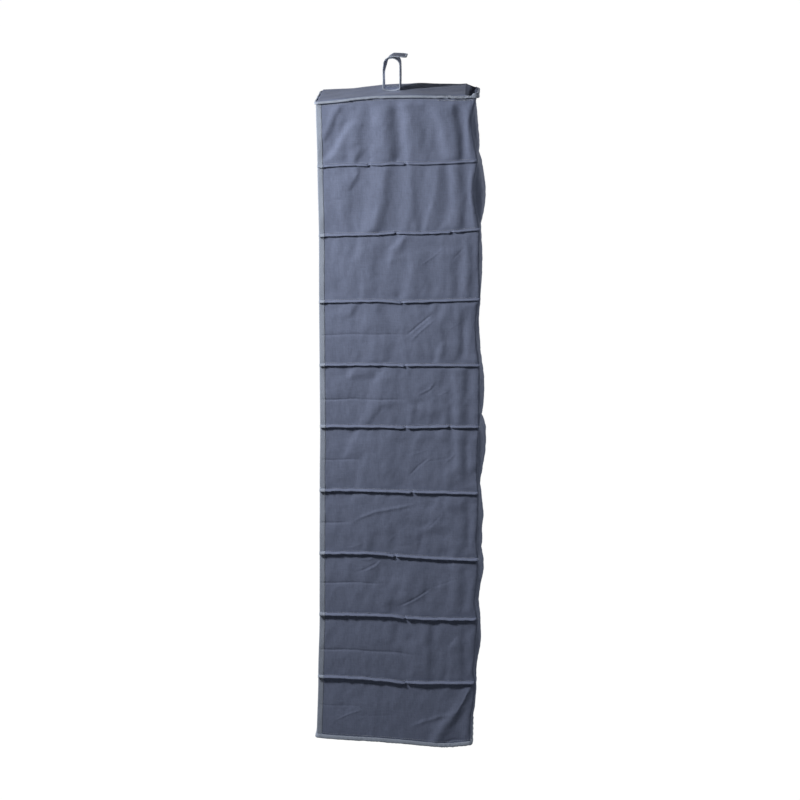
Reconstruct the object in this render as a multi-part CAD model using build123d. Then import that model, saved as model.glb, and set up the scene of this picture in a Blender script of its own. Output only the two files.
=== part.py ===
from build123d import *
import math
import os

# Hanging soft organizer for shoes: a fabric sleeve open at the front, hung from
# a wardrobe rail by a hook-and-loop strap, with a stiffened top, nine stiffened
# shelves and a stiffened bottom that give ten open compartments.
# Frame: origin on the rail's axis at the middle of the strap, +Z up, the open
# front faces -Y, +X to the right when looking into the compartments.
# All sizes in millimetres.

# ---------------------------------------------------------------- driving sizes
WIDTH = 150.0            # outside width of the sleeve, X
DEPTH = 294.0            # outside depth of the sleeve, Y
HEIGHT = 1250.0          # top face of the top panel to under face of the bottom
CELLS = 10               # compartments
CLOTH = 0.8              # sleeve and panel cover fabric
BACK_R = 10.0            # outside radius of the sleeve's two back corners
FRONT_R = 3.0            # corner radius of the panels at the front
RAIL_DROP = 46.5         # rail axis down to the top face of the top panel
PANEL_BOARD_T = 4.0      # space for the stiffener in the top and in the bottom
GAP = 0.1                # free space between neighbouring layers
FINE_GAP = GAP / 2       # the same, between close layers
OVERCUT = 1.0            # how far a cutter runs past the solid it cuts
OVERLAP = 1.0            # how far two joined blocks run into each other

# Bindings round the top and bottom panels, and tape on the front edges
BINDING_OUT = 4.0        # thickness of the bindings
BINDING_H = 7.0          # height of the top binding
BOTTOM_BINDING_H = 8.0   # height of the bottom binding
BINDING_DROP = 1.0       # top face of the top panel down to its binding
CORNER_CUT = 0.2         # the sleeve is cut back this far past the front radius
TAPE = 0.6               # thickness of one layer of edging tape
TAPE_W = 9.8             # width of the edging tape on the sleeve, along Y

# Shelves
SHELF_BOARD_T = 2.5      # stiffener in each shelf
SHELF_CLOTH = 0.7        # cover above and below the pocket
POCKET_CLEAR = 0.1       # free space above and below the board
POCKET_WALL = 0.9        # cover at the pocket's sides and front
BOARD_CLEAR = 0.4        # free space at the board's sides and front
BOARD_BACK = 2.0         # the board stops this far short of the cover's back
SHELF_SIDE_CLEAR = 0.15  # between a shelf and the sleeve's edging tape
SHELF_INSET = 2.0        # shelf cover back from the sleeve's front and back
SHELF_BACK_R = 8.0       # back corner radius of cover and board
SHELF_TAPE_W = 7.5       # front binding runs this far back over the cover

# Folds of the shelf seams, outside the sleeve
TUCK_OUT = 4.5           # how far a fold stands out of a side
TUCK_UP = 1.2            # fold above the shelf's mid plane
TUCK_DOWN = 3.0          # fold below the shelf's mid plane
TUCK_END = 6.0           # the fold stops this far short of the sleeve's back
TUCK_FRONT = 0.6         # the fold stands this far in front of the sleeve

# Strap; angles are measured from +Y towards +Z about the rail's axis
STRAP_W = 50.0           # strap width along the rail
STRAP_FORWARD = 11.0     # the strap is sewn this far in front of the middle
STRAP_EDGE = 1.0         # width of the edging solid on each side of the strap
RAIL_SEAT_R = 12.8       # inside radius of the closed loop, for a 25 mm rail
SHORT_BAND_T = 1.5       # short half of the strap, at the back
LONG_BAND_T = 1.6        # long half of the strap, at the front
LOOP_TAPE_T = 0.8        # soft side of the closure, on the short half
HOOK_TAPE_T = 0.6        # hooked side of the closure, under the long half
CLOSURE_W = 38.0         # width of both closure tapes
SHORT_END_DEG = 130.0    # end of the short half
LOOP_START_DEG = 62.0    # lower end of the loop tape
LOOP_END_DEG = SHORT_END_DEG - 1
HOOK_START_DEG = 138.0   # lower end of the hook tape
TAIL = 24.0              # free tail of the long half past the crown
HOOK_TAIL = TAIL - 3     # the hook tape's share of it
STRAP_HINGE_Z = 1.5      # height of the strap's fold lines above the top panel
BASE_T = 1.3             # thickness of the strap's base
BASE_INSET = 0.2         # base back from the feet of the two bands

# Stitches that hold the base down, in a rectangle
STITCH_INSET_X = 5.0     # stitch rows in from the base's edges
STITCH_INSET_Y = 4.0
STITCHES_X = 9           # stitches in each row along X
STITCHES_Y = 5
STITCH_LENGTH_X = 3.0    # length of a stitch in a row along X
STITCH_LENGTH_Y = 2.6
STITCH_W = 0.6
STITCH_H = 0.4
STITCH_LIFT = 0.02       # base up to the underside of the thread

# --------------------------------------------------------------- derived places
SIDE_X = WIDTH / 2
BACK = DEPTH / 2
FRONT = -BACK
Z_TOP = -RAIL_DROP
Z_BOT = Z_TOP - HEIGHT
PANEL_T = PANEL_BOARD_T + 2 * CLOTH
BOARD_T = PANEL_BOARD_T - GAP
PITCH = (HEIGHT - PANEL_T) / CELLS
Z_BINDING_TOP = Z_TOP - BINDING_DROP
Z_TOP_BINDING_UNDER = Z_BINDING_TOP - BINDING_H
Z_BOT_BINDING_OVER = Z_BOT + BOTTOM_BINDING_H

TAPE_INNER_X = SIDE_X - CLOTH - FINE_GAP - TAPE
TAPE_OUTER_X = SIDE_X + FINE_GAP + TAPE

SHELF_X = TAPE_INNER_X - SHELF_SIDE_CLEAR
POCKET_X = SHELF_X - POCKET_WALL
SHELF_FRONT = FRONT + SHELF_INSET
SHELF_BACK = BACK - SHELF_INSET
SHELF_T = SHELF_BOARD_T + 2 * POCKET_CLEAR + 2 * SHELF_CLOTH

Z_HINGE = Z_TOP + STRAP_HINGE_Z
STRAP_X = STRAP_W / 2
SHORT_OUTER_R = RAIL_SEAT_R + SHORT_BAND_T
LOOP_R = SHORT_OUTER_R + FINE_GAP
HOOK_R = LOOP_R + LOOP_TAPE_T + GAP
LONG_R = HOOK_R + HOOK_TAPE_T + FINE_GAP
BASE_FRONT = -LONG_R + BASE_INSET
BASE_BACK = RAIL_SEAT_R - BASE_INSET
Z_BASE = Z_TOP + FINE_GAP


# ---------------------------------------------------------------------- helpers
def write(name, *solids):
    """Writes one piece."""
    shape = solids[0] if len(solids) == 1 else Compound(children=list(solids))
    export_step(shape, os.path.join("parts", name + ".step"))


def write_behind(name, *solids):
    """Writes a piece drawn about the middle of the sleeve, behind the rail's axis."""
    write(name, *[Pos(0, STRAP_FORWARD, 0) * solid for solid in solids])


def block(x0, x1, y0, y1, z0, z1):
    middle = Pos((x0 + x1) / 2, (y0 + y1) / 2, (z0 + z1) / 2)
    return middle * Box(x1 - x0, y1 - y0, z1 - z0)


def side_block(side, x_inner, x_outer, y0, y1, z0, z1):
    """Block on the left (side -1) or the right (side 1)."""
    x0, x1 = sorted((side * x_inner, side * x_outer))
    return block(x0, x1, y0, y1, z0, z1)


def outline(grow):
    """Plan outline of the sleeve's box, grown outwards by grow."""
    x, y = SIDE_X + grow, BACK + grow
    back_r, front_r = BACK_R + grow, FRONT_R + grow
    return make_face([
        Line((-x + front_r, -y), (x - front_r, -y)),
        RadiusArc((x - front_r, -y), (x, -y + front_r), -front_r),
        Line((x, -y + front_r), (x, y - back_r)),
        RadiusArc((x, y - back_r), (x - back_r, y), -back_r),
        Line((x - back_r, y), (-x + back_r, y)),
        RadiusArc((-x + back_r, y), (-x, y - back_r), -back_r),
        Line((-x, y - back_r), (-x, -y + front_r)),
        RadiusArc((-x, -y + front_r), (-x + front_r, -y), -front_r),
    ])


def plate(grow, z0, z1):
    return Pos(0, 0, z0) * extrude(outline(grow), z1 - z0)


def binding(z0, z1):
    """Ring round a panel."""
    return plate(GAP + BINDING_OUT, z0, z1) - plate(GAP, z0 - OVERCUT, z1 + OVERCUT)


def soft_block(x, y0, y1, z0, z1):
    """Block from -x to x whose two back corners are rounded."""
    body = block(-x, x, y0, y1, z0, z1)
    corners = body.edges().filter_by(Axis.Z).sort_by(Axis.Y)[-2:]
    return fillet(corners, SHELF_BACK_R)


# ------------------------------------------------------------- panels and sleeve
def top_panel():
    z_under = Z_TOP - PANEL_T
    upper = plate(0, z_under + CLOTH + GAP, Z_TOP) - plate(-CLOTH, z_under, Z_TOP - CLOTH)
    write_behind("top_cover_upper", upper)
    z_board = Z_TOP - CLOTH - FINE_GAP
    write_behind("top_board", plate(-CLOTH - GAP, z_board - BOARD_T, z_board))
    write_behind("top_cover_lower", plate(0, z_under, z_under + CLOTH))
    write_behind("top_binding", binding(Z_TOP_BINDING_UNDER, Z_BINDING_TOP))


def bottom_panel():
    z_over = Z_BOT + PANEL_T
    lower = plate(0, Z_BOT, z_over - CLOTH - GAP) - plate(-CLOTH, Z_BOT + CLOTH, z_over)
    write_behind("bottom_cover_lower", lower)
    z_board = Z_BOT + CLOTH + FINE_GAP
    write_behind("bottom_board", plate(-CLOTH - GAP, z_board, z_board + BOARD_T))
    write_behind("bottom_cover_upper", plate(0, z_over - CLOTH, z_over))
    write_behind("bottom_binding", binding(Z_BOT, Z_BOT_BINDING_OVER))


def sleeve():
    """One length of fabric: left side, back and right side, open at the front.
    Its ends are tucked behind the bindings, cut back at the front corners."""
    z0 = Z_BOT + PANEL_T + GAP
    z1 = Z_TOP - PANEL_T - GAP
    y_straight = FRONT + FRONT_R + 1.0     # behind the rounded front corners
    body = plate(0, z0, z1) - plate(-CLOTH, z0 - OVERCUT, z1 + OVERCUT)
    body = body - block(-WIDTH, WIDTH, -DEPTH, y_straight, z0 - OVERCUT, z1 + OVERCUT)
    for side in (-1, 1):
        body = body + side_block(
            side, SIDE_X - CLOTH, SIDE_X, FRONT, y_straight + OVERLAP, z0, z1
        )
    for cut_z0, cut_z1 in (
        (Z_TOP_BINDING_UNDER - FINE_GAP, z1 + OVERCUT),
        (z0 - OVERCUT, Z_BOT_BINDING_OVER + FINE_GAP),
    ):
        body = body - block(
            -WIDTH, WIDTH, -DEPTH, FRONT + FRONT_R + CORNER_CUT, cut_z0, cut_z1
        )
    write_behind("sleeve", body)


def side_binding(name, side):
    """Edging tape folded over one front edge of the sleeve."""
    z0, z1 = Z_BOT_BINDING_OVER + GAP, Z_TOP_BINDING_UNDER - GAP
    y0 = FRONT - GAP - TAPE
    tape = side_block(side, TAPE_INNER_X, TAPE_OUTER_X, y0, y0 + TAPE_W, z0, z1)
    tape = tape - side_block(
        side, TAPE_INNER_X + TAPE, TAPE_OUTER_X - TAPE, FRONT - GAP, 0, z0 - OVERCUT, z1 + OVERCUT
    )
    write_behind(name, tape)


# ---------------------------------------------------------------------- shelves
def shelf_cover(name, z):
    """Cover with a pocket open at the back."""
    cover_half, pocket_half = SHELF_T / 2, SHELF_BOARD_T / 2 + POCKET_CLEAR
    cover = soft_block(SHELF_X, SHELF_FRONT, SHELF_BACK, z - cover_half, z + cover_half)
    pocket = block(
        -POCKET_X, POCKET_X, SHELF_FRONT + POCKET_WALL, SHELF_BACK + OVERCUT,
        z - pocket_half, z + pocket_half,
    )
    write_behind(name, cover - pocket)


def shelf_board(name, z):
    y0 = SHELF_FRONT + POCKET_WALL + BOARD_CLEAR
    half = SHELF_BOARD_T / 2
    board = soft_block(POCKET_X - BOARD_CLEAR, y0, SHELF_BACK - BOARD_BACK, z - half, z + half)
    write_behind(name, board)


def shelf_front_binding(name, z):
    """Tape folded over the shelf's front edge."""
    y0, y1 = SHELF_FRONT - GAP, SHELF_FRONT + SHELF_TAPE_W
    half = SHELF_T / 2 + FINE_GAP
    tape = block(-SHELF_X, SHELF_X, y0 - TAPE, y1, z - half - TAPE, z + half + TAPE)
    tape = tape - block(-WIDTH, WIDTH, y0, y1 + OVERCUT, z - half, z + half)
    write_behind(name, tape)


def shelf_side_seams(name, z):
    """Fold along each side, thinner where it passes over the edging tape."""
    z0, z1 = z - TUCK_DOWN, z + TUCK_UP
    x_inner = SIDE_X + GAP
    x_outer = x_inner + TUCK_OUT
    y_tape = FRONT + TAPE_W
    folds = []
    for side in (-1, 1):
        fold = side_block(side, x_inner, x_outer, y_tape, BACK - TUCK_END, z0, z1)
        fold = fold + side_block(
            side, x_inner + TAPE + FINE_GAP, x_outer, FRONT - TUCK_FRONT, y_tape + OVERLAP, z0, z1
        )
        folds.append(fold)
    write_behind(name, *folds)


# ------------------------------------------------------------------------ strap
# The loop is two halves that rise from the top panel. The short half turns over
# the rail, and the long half lies over it and is held by hook and loop.
def polar(r, deg):
    return (r * math.cos(math.radians(deg)), r * math.sin(math.radians(deg)))


def arc(r, start, end):
    return ThreePointArc(polar(r, start), polar(r, (start + end) / 2), polar(r, end))


def across(edges, x0, x1):
    """Extrudes a closed outline drawn in (Y, Z) from x0 to x1."""
    face = Plane.YZ * make_face(edges)
    return Pos(x0, 0, 0) * extrude(face, amount=x1 - x0, dir=(1, 0, 0))


def short_profile(r0, r1):
    return [
        Line((r1, Z_HINGE), (r1, 0)),
        arc(r1, 0, SHORT_END_DEG),
        Line(polar(r1, SHORT_END_DEG), polar(r0, SHORT_END_DEG)),
        arc(r0, SHORT_END_DEG, 0),
        Line((r0, 0), (r0, Z_HINGE)),
        Line((r0, Z_HINGE), (r1, Z_HINGE)),
    ]


def long_profile(r0, r1):
    return [
        Line((-r1, Z_HINGE), (-r1, 0)),
        arc(r1, 180, 90),
        Line((0, r1), (TAIL, r1)),
        Line((TAIL, r1), (TAIL, r0)),
        Line((TAIL, r0), (0, r0)),
        arc(r0, 90, 180),
        Line((-r0, 0), (-r0, Z_HINGE)),
        Line((-r0, Z_HINGE), (-r1, Z_HINGE)),
    ]


def loop_profile(r0, r1):
    return [
        arc(r1, LOOP_START_DEG, LOOP_END_DEG),
        Line(polar(r1, LOOP_END_DEG), polar(r0, LOOP_END_DEG)),
        arc(r0, LOOP_END_DEG, LOOP_START_DEG),
        Line(polar(r0, LOOP_START_DEG), polar(r1, LOOP_START_DEG)),
    ]


def hook_profile(r0, r1):
    return [
        arc(r1, HOOK_START_DEG, 90),
        Line((0, r1), (HOOK_TAIL, r1)),
        Line((HOOK_TAIL, r1), (HOOK_TAIL, r0)),
        Line((HOOK_TAIL, r0), (0, r0)),
        arc(r0, 90, HOOK_START_DEG),
        Line(polar(r0, HOOK_START_DEG), polar(r1, HOOK_START_DEG)),
    ]


def strap_half(name, profile):
    """One half of the strap: a band with an edging on each side."""
    band_x = STRAP_X - STRAP_EDGE
    write(name + "_band", across(profile, -band_x, band_x))
    write(
        name + "_edging",
        across(profile, -STRAP_X, -band_x - FINE_GAP),
        across(profile, band_x + FINE_GAP, STRAP_X),
    )


def closure_tape(name, profile):
    write(name, across(profile, -CLOSURE_W / 2, CLOSURE_W / 2))


def strap_base():
    base = block(-STRAP_X, STRAP_X, BASE_FRONT, BASE_BACK, Z_BASE, Z_BASE + BASE_T)
    write("strap_base", base)


def stitch(x, y, length_x, length_y):
    z0 = Z_BASE + BASE_T + STITCH_LIFT
    half_x, half_y = length_x / 2, length_y / 2
    return block(x - half_x, x + half_x, y - half_y, y + half_y, z0, z0 + STITCH_H)


def anchor_stitches():
    x1 = STRAP_X - STITCH_INSET_X
    y0, y1 = BASE_FRONT + STITCH_INSET_Y, BASE_BACK - STITCH_INSET_Y
    stitches = []
    for i in range(STITCHES_X):
        x = -x1 + (i + 0.5) * 2 * x1 / STITCHES_X
        stitches += [stitch(x, y, STITCH_LENGTH_X, STITCH_W) for y in (y0, y1)]
    for i in range(STITCHES_Y):
        y = y0 + (i + 0.5) * (y1 - y0) / STITCHES_Y
        stitches += [stitch(x, y, STITCH_W, STITCH_LENGTH_Y) for x in (-x1, x1)]
    write("strap_anchor_stitches", *stitches)


# ------------------------------------------------------------------------ build
os.makedirs("parts", exist_ok=True)

top_panel()
sleeve()
side_binding("side_binding_left", -1)
side_binding("side_binding_right", 1)
for k in range(1, CELLS):
    shelf = f"shelf_{k:02d}"
    z = Z_TOP - PANEL_T / 2 - PITCH * k
    shelf_cover(shelf + "_cover", z)
    shelf_board(shelf + "_board", z)
    shelf_front_binding(shelf + "_front_binding", z)
    shelf_side_seams(shelf + "_side_seams", z)
bottom_panel()

strap_half("strap_short", short_profile(RAIL_SEAT_R, SHORT_OUTER_R))
closure_tape("strap_loop_tape", loop_profile(LOOP_R, LOOP_R + LOOP_TAPE_T))
strap_half("strap_long", long_profile(LONG_R, LONG_R + LONG_BAND_T))
closure_tape("strap_hook_tape", hook_profile(HOOK_R, HOOK_R + HOOK_TAPE_T))
strap_base()
anchor_stitches()
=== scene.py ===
import bpy
import math
import numpy as np
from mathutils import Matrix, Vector


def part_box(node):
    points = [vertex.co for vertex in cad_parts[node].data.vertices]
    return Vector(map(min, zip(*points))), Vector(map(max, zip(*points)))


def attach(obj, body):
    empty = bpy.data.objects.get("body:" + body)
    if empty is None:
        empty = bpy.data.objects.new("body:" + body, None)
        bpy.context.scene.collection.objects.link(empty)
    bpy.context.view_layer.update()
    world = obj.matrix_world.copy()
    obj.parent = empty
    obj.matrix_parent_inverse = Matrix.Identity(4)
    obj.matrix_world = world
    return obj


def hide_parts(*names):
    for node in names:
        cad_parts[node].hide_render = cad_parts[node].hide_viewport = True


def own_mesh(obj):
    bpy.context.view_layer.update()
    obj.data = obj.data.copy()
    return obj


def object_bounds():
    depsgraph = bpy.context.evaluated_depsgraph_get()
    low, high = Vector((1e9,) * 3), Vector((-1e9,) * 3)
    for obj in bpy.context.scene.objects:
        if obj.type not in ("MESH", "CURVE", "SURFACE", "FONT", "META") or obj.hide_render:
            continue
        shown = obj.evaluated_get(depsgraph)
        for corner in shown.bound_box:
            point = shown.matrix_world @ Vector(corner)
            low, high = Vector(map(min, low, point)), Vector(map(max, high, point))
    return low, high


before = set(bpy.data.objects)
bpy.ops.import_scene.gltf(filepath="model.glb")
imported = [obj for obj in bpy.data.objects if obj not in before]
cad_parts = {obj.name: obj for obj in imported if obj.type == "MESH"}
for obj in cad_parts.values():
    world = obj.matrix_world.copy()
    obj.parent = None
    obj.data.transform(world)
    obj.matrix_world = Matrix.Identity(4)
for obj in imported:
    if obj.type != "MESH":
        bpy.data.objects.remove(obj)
cad_lo, cad_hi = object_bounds()


def box_mm(name):
    low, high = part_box(name)
    return np.array(low) * 1000.0, np.array(high) * 1000.0


def z_span(name):
    low, high = box_mm(name)
    return float(low[2]), float(high[2])


# ------------------------------------------------------------------ driving sizes
sleeve_low, sleeve_high = box_mm("sleeve")
HALF_W = float(sleeve_high[0])           # outside of the side cloth
FRONT, BACK = float(sleeve_low[1]), float(sleeve_high[1])
DEPTH = BACK - FRONT
CORNER = 4.5                             # radius of the back corners
FRONT_CORNER = 3.0                       # radius of the panels' front corners
CLOTH = 0.8                              # thickness
TOP = z_span("top_cover_upper")[1]
TOP_LINING = z_span("top_cover_lower")
BOTTOM = z_span("bottom_cover_lower")[0]
BOTTOM_LINING = z_span("bottom_cover_upper")
SPANS = ([(TOP_LINING[0], TOP)] + [z_span("shelf_%02d_cover" % k) for k in range(1, 10)]
         + [(BOTTOM, BOTTOM_LINING[1])])
LEVELS = np.array([(low + high) / 2 for low, high in SPANS])
PITCH = (LEVELS[0] - LEVELS[-1]) / 10

# ------------------------------------------------------------------ how the cloth hangs
# Per level from the top, mm: shift of the front and of the back edge (+ is towards the back).
SHIFT_FRONT = np.array([-0.8, 1.4, 3.3, 2.8, 3.0, 3.2, 1.6, 0.6, -0.2, -3.6, -7.0])
SHIFT_BACK = np.array([-0.1, 2.6, 7.0, 8.5, 8.5, 8.5, 8.5, 8.5, 8.0, 5.0, -4.6])
# Rise of each level, mm, at nine even places from front to back.
RISE = np.array([
    [-13.0, -10.0, -4.5, -1.0, 0.0, 0.5, 0.0, 0.0, 1.0],
    [-7.0, -4.5, -2.0, -2.3, 0.2, 0.2, 1.0, 3.9, 6.3],
    [-13.0, -10.4, -9.2, -8.4, -5.4, -6.0, -3.8, -0.7, 3.1],
    [-13.4, -12.1, -10.9, -9.9, -12.4, -10.2, -8.5, -6.8, -5.2],
    [-9.8, -9.0, -8.2, -7.5, -8.3, -8.1, -7.2, -7.2, -6.8],
    [-4.0, -3.5, -3.1, -2.6, -4.0, -3.1, -1.6, -1.6, -1.0],
    [-4.9, -3.8, -3.6, -4.3, -4.9, -5.4, -5.7, -6.0, -6.4],
    [-4.2, -3.6, -3.0, -3.6, -7.6, -9.7, -11.6, -12.6, -13.0],
    [-1.9, -2.0, -2.0, -2.1, -3.8, -8.1, -7.9, -7.7, -7.3],
    [-3.2, -3.8, -5.2, -7.6, -10.8, -13.0, -12.3, -11.6, -10.9],
    [-1.0, -3.6, -5.2, -6.6, -8.8, -11.6, -15.0, -15.6, -10.2]])


def soften(values, reach, sigma, **padding):
    """Convolves with a bell curve cut off at reach samples."""
    kernel = np.exp(-0.5 * (np.arange(-reach, reach + 1) / sigma) ** 2)
    return np.convolve(np.pad(values, reach, **padding), kernel / kernel.sum(), "valid")


def soften_rows(table, sigma):
    return np.apply_along_axis(soften, 1, table, int(3 * sigma) + 1, sigma, mode="reflect")


ODD = dict(mode="reflect", reflect_type="odd")     # carries a line straight on past its ends
SAMPLES = 81
RISE_SOFT = np.array([
    soften(np.interp(np.linspace(0, 1, SAMPLES), np.linspace(0, 1, len(row)), row), 8, 3.2, **ODD)
    for row in RISE])


def smoothstep(start, end, value):
    t = np.clip((np.asarray(value, float) - start) / (end - start), 0, 1)
    return t * t * (3 - 2 * t)


def bilinear(table, i, j, down, across):
    """The table between rows i, i + 1 and columns j, j + 1 at the given fractions."""
    upper = table[i, j] * (1 - across) + table[i, j + 1] * across
    lower = table[i + 1, j] * (1 - across) + table[i + 1, j + 1] * across
    return upper * (1 - down) + lower * down


def drape(points):
    """Moves points (..., 3) from the straight shape to the shape in which the cloth hangs."""
    points = np.asarray(points, float)
    x, y, z = points[..., 0], points[..., 1], points[..., 2]
    row = np.clip((LEVELS[0] - z) / PITCH, 0, 9.99999)
    k = np.floor(row).astype(int)
    down = smoothstep(0, 1, row - k)
    share = np.clip((y - FRONT) / DEPTH, -0.03, 1.03)
    left = 0.5 - x / (2 * HALF_W)        # 0 at the right side, 1 at the left
    front = SHIFT_FRONT[k] * (1 - down) + SHIFT_FRONT[k + 1] * down
    back = SHIFT_BACK[k] * (1 - down) + SHIFT_BACK[k + 1] * down - 3.0 * left
    column = np.clip(share, 0, 1) * (SAMPLES - 1)
    j = np.clip(np.floor(column).astype(int), 0, SAMPLES - 2)
    rise = bilinear(RISE_SOFT, k, j, down, column - j)
    # near the top the left side sags a quarter of the way back, and at the back edge
    near_top = smoothstep(LEVELS[0] - 90.0, LEVELS[0], z)
    rise = rise - 3.2 * left * np.exp(-((share - 0.27) / 0.21) ** 2) * near_top
    rise = rise - 6.5 * left * smoothstep(0.92, 1.0, share) * near_top
    return np.stack([x, y + front * (1 - share) + back * share, z + rise], -1)


def noise_grid(shape, step, waves, seed):
    """Seeded band-limited noise. waves: wavelength across columns, across rows, amplitude, mm."""
    rng = np.random.default_rng(seed)
    total = np.zeros(shape)
    freq_rows = np.fft.fftfreq(shape[0], step[0])[:, None]
    freq_cols = np.fft.rfftfreq(shape[1], step[1])[None, :]
    for across, down, amplitude in waves:
        spectrum = np.fft.rfft2(rng.standard_normal(shape))
        square = (freq_cols * across) ** 2 + (freq_rows * down) ** 2
        spectrum *= np.exp(-0.5 * square) - np.exp(-0.5 * square * 9.0)
        wave = np.fft.irfft2(spectrum, s=shape)
        total += amplitude * wave / (wave.std() + 1e-12)
    return total


def noise_line(count, step, wave, seed):
    """Seeded band-limited noise along a line, of unit spread."""
    padded = count + 64
    spectrum = np.fft.rfft(np.random.default_rng(seed).standard_normal(padded))
    freq = np.fft.rfftfreq(padded, step)
    spectrum *= np.exp(-0.5 * (freq * wave) ** 2) - np.exp(-0.5 * (freq * wave * 4) ** 2)
    values = np.fft.irfft(spectrum, padded)[:count]
    return values / (values.std() + 1e-12)


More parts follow.
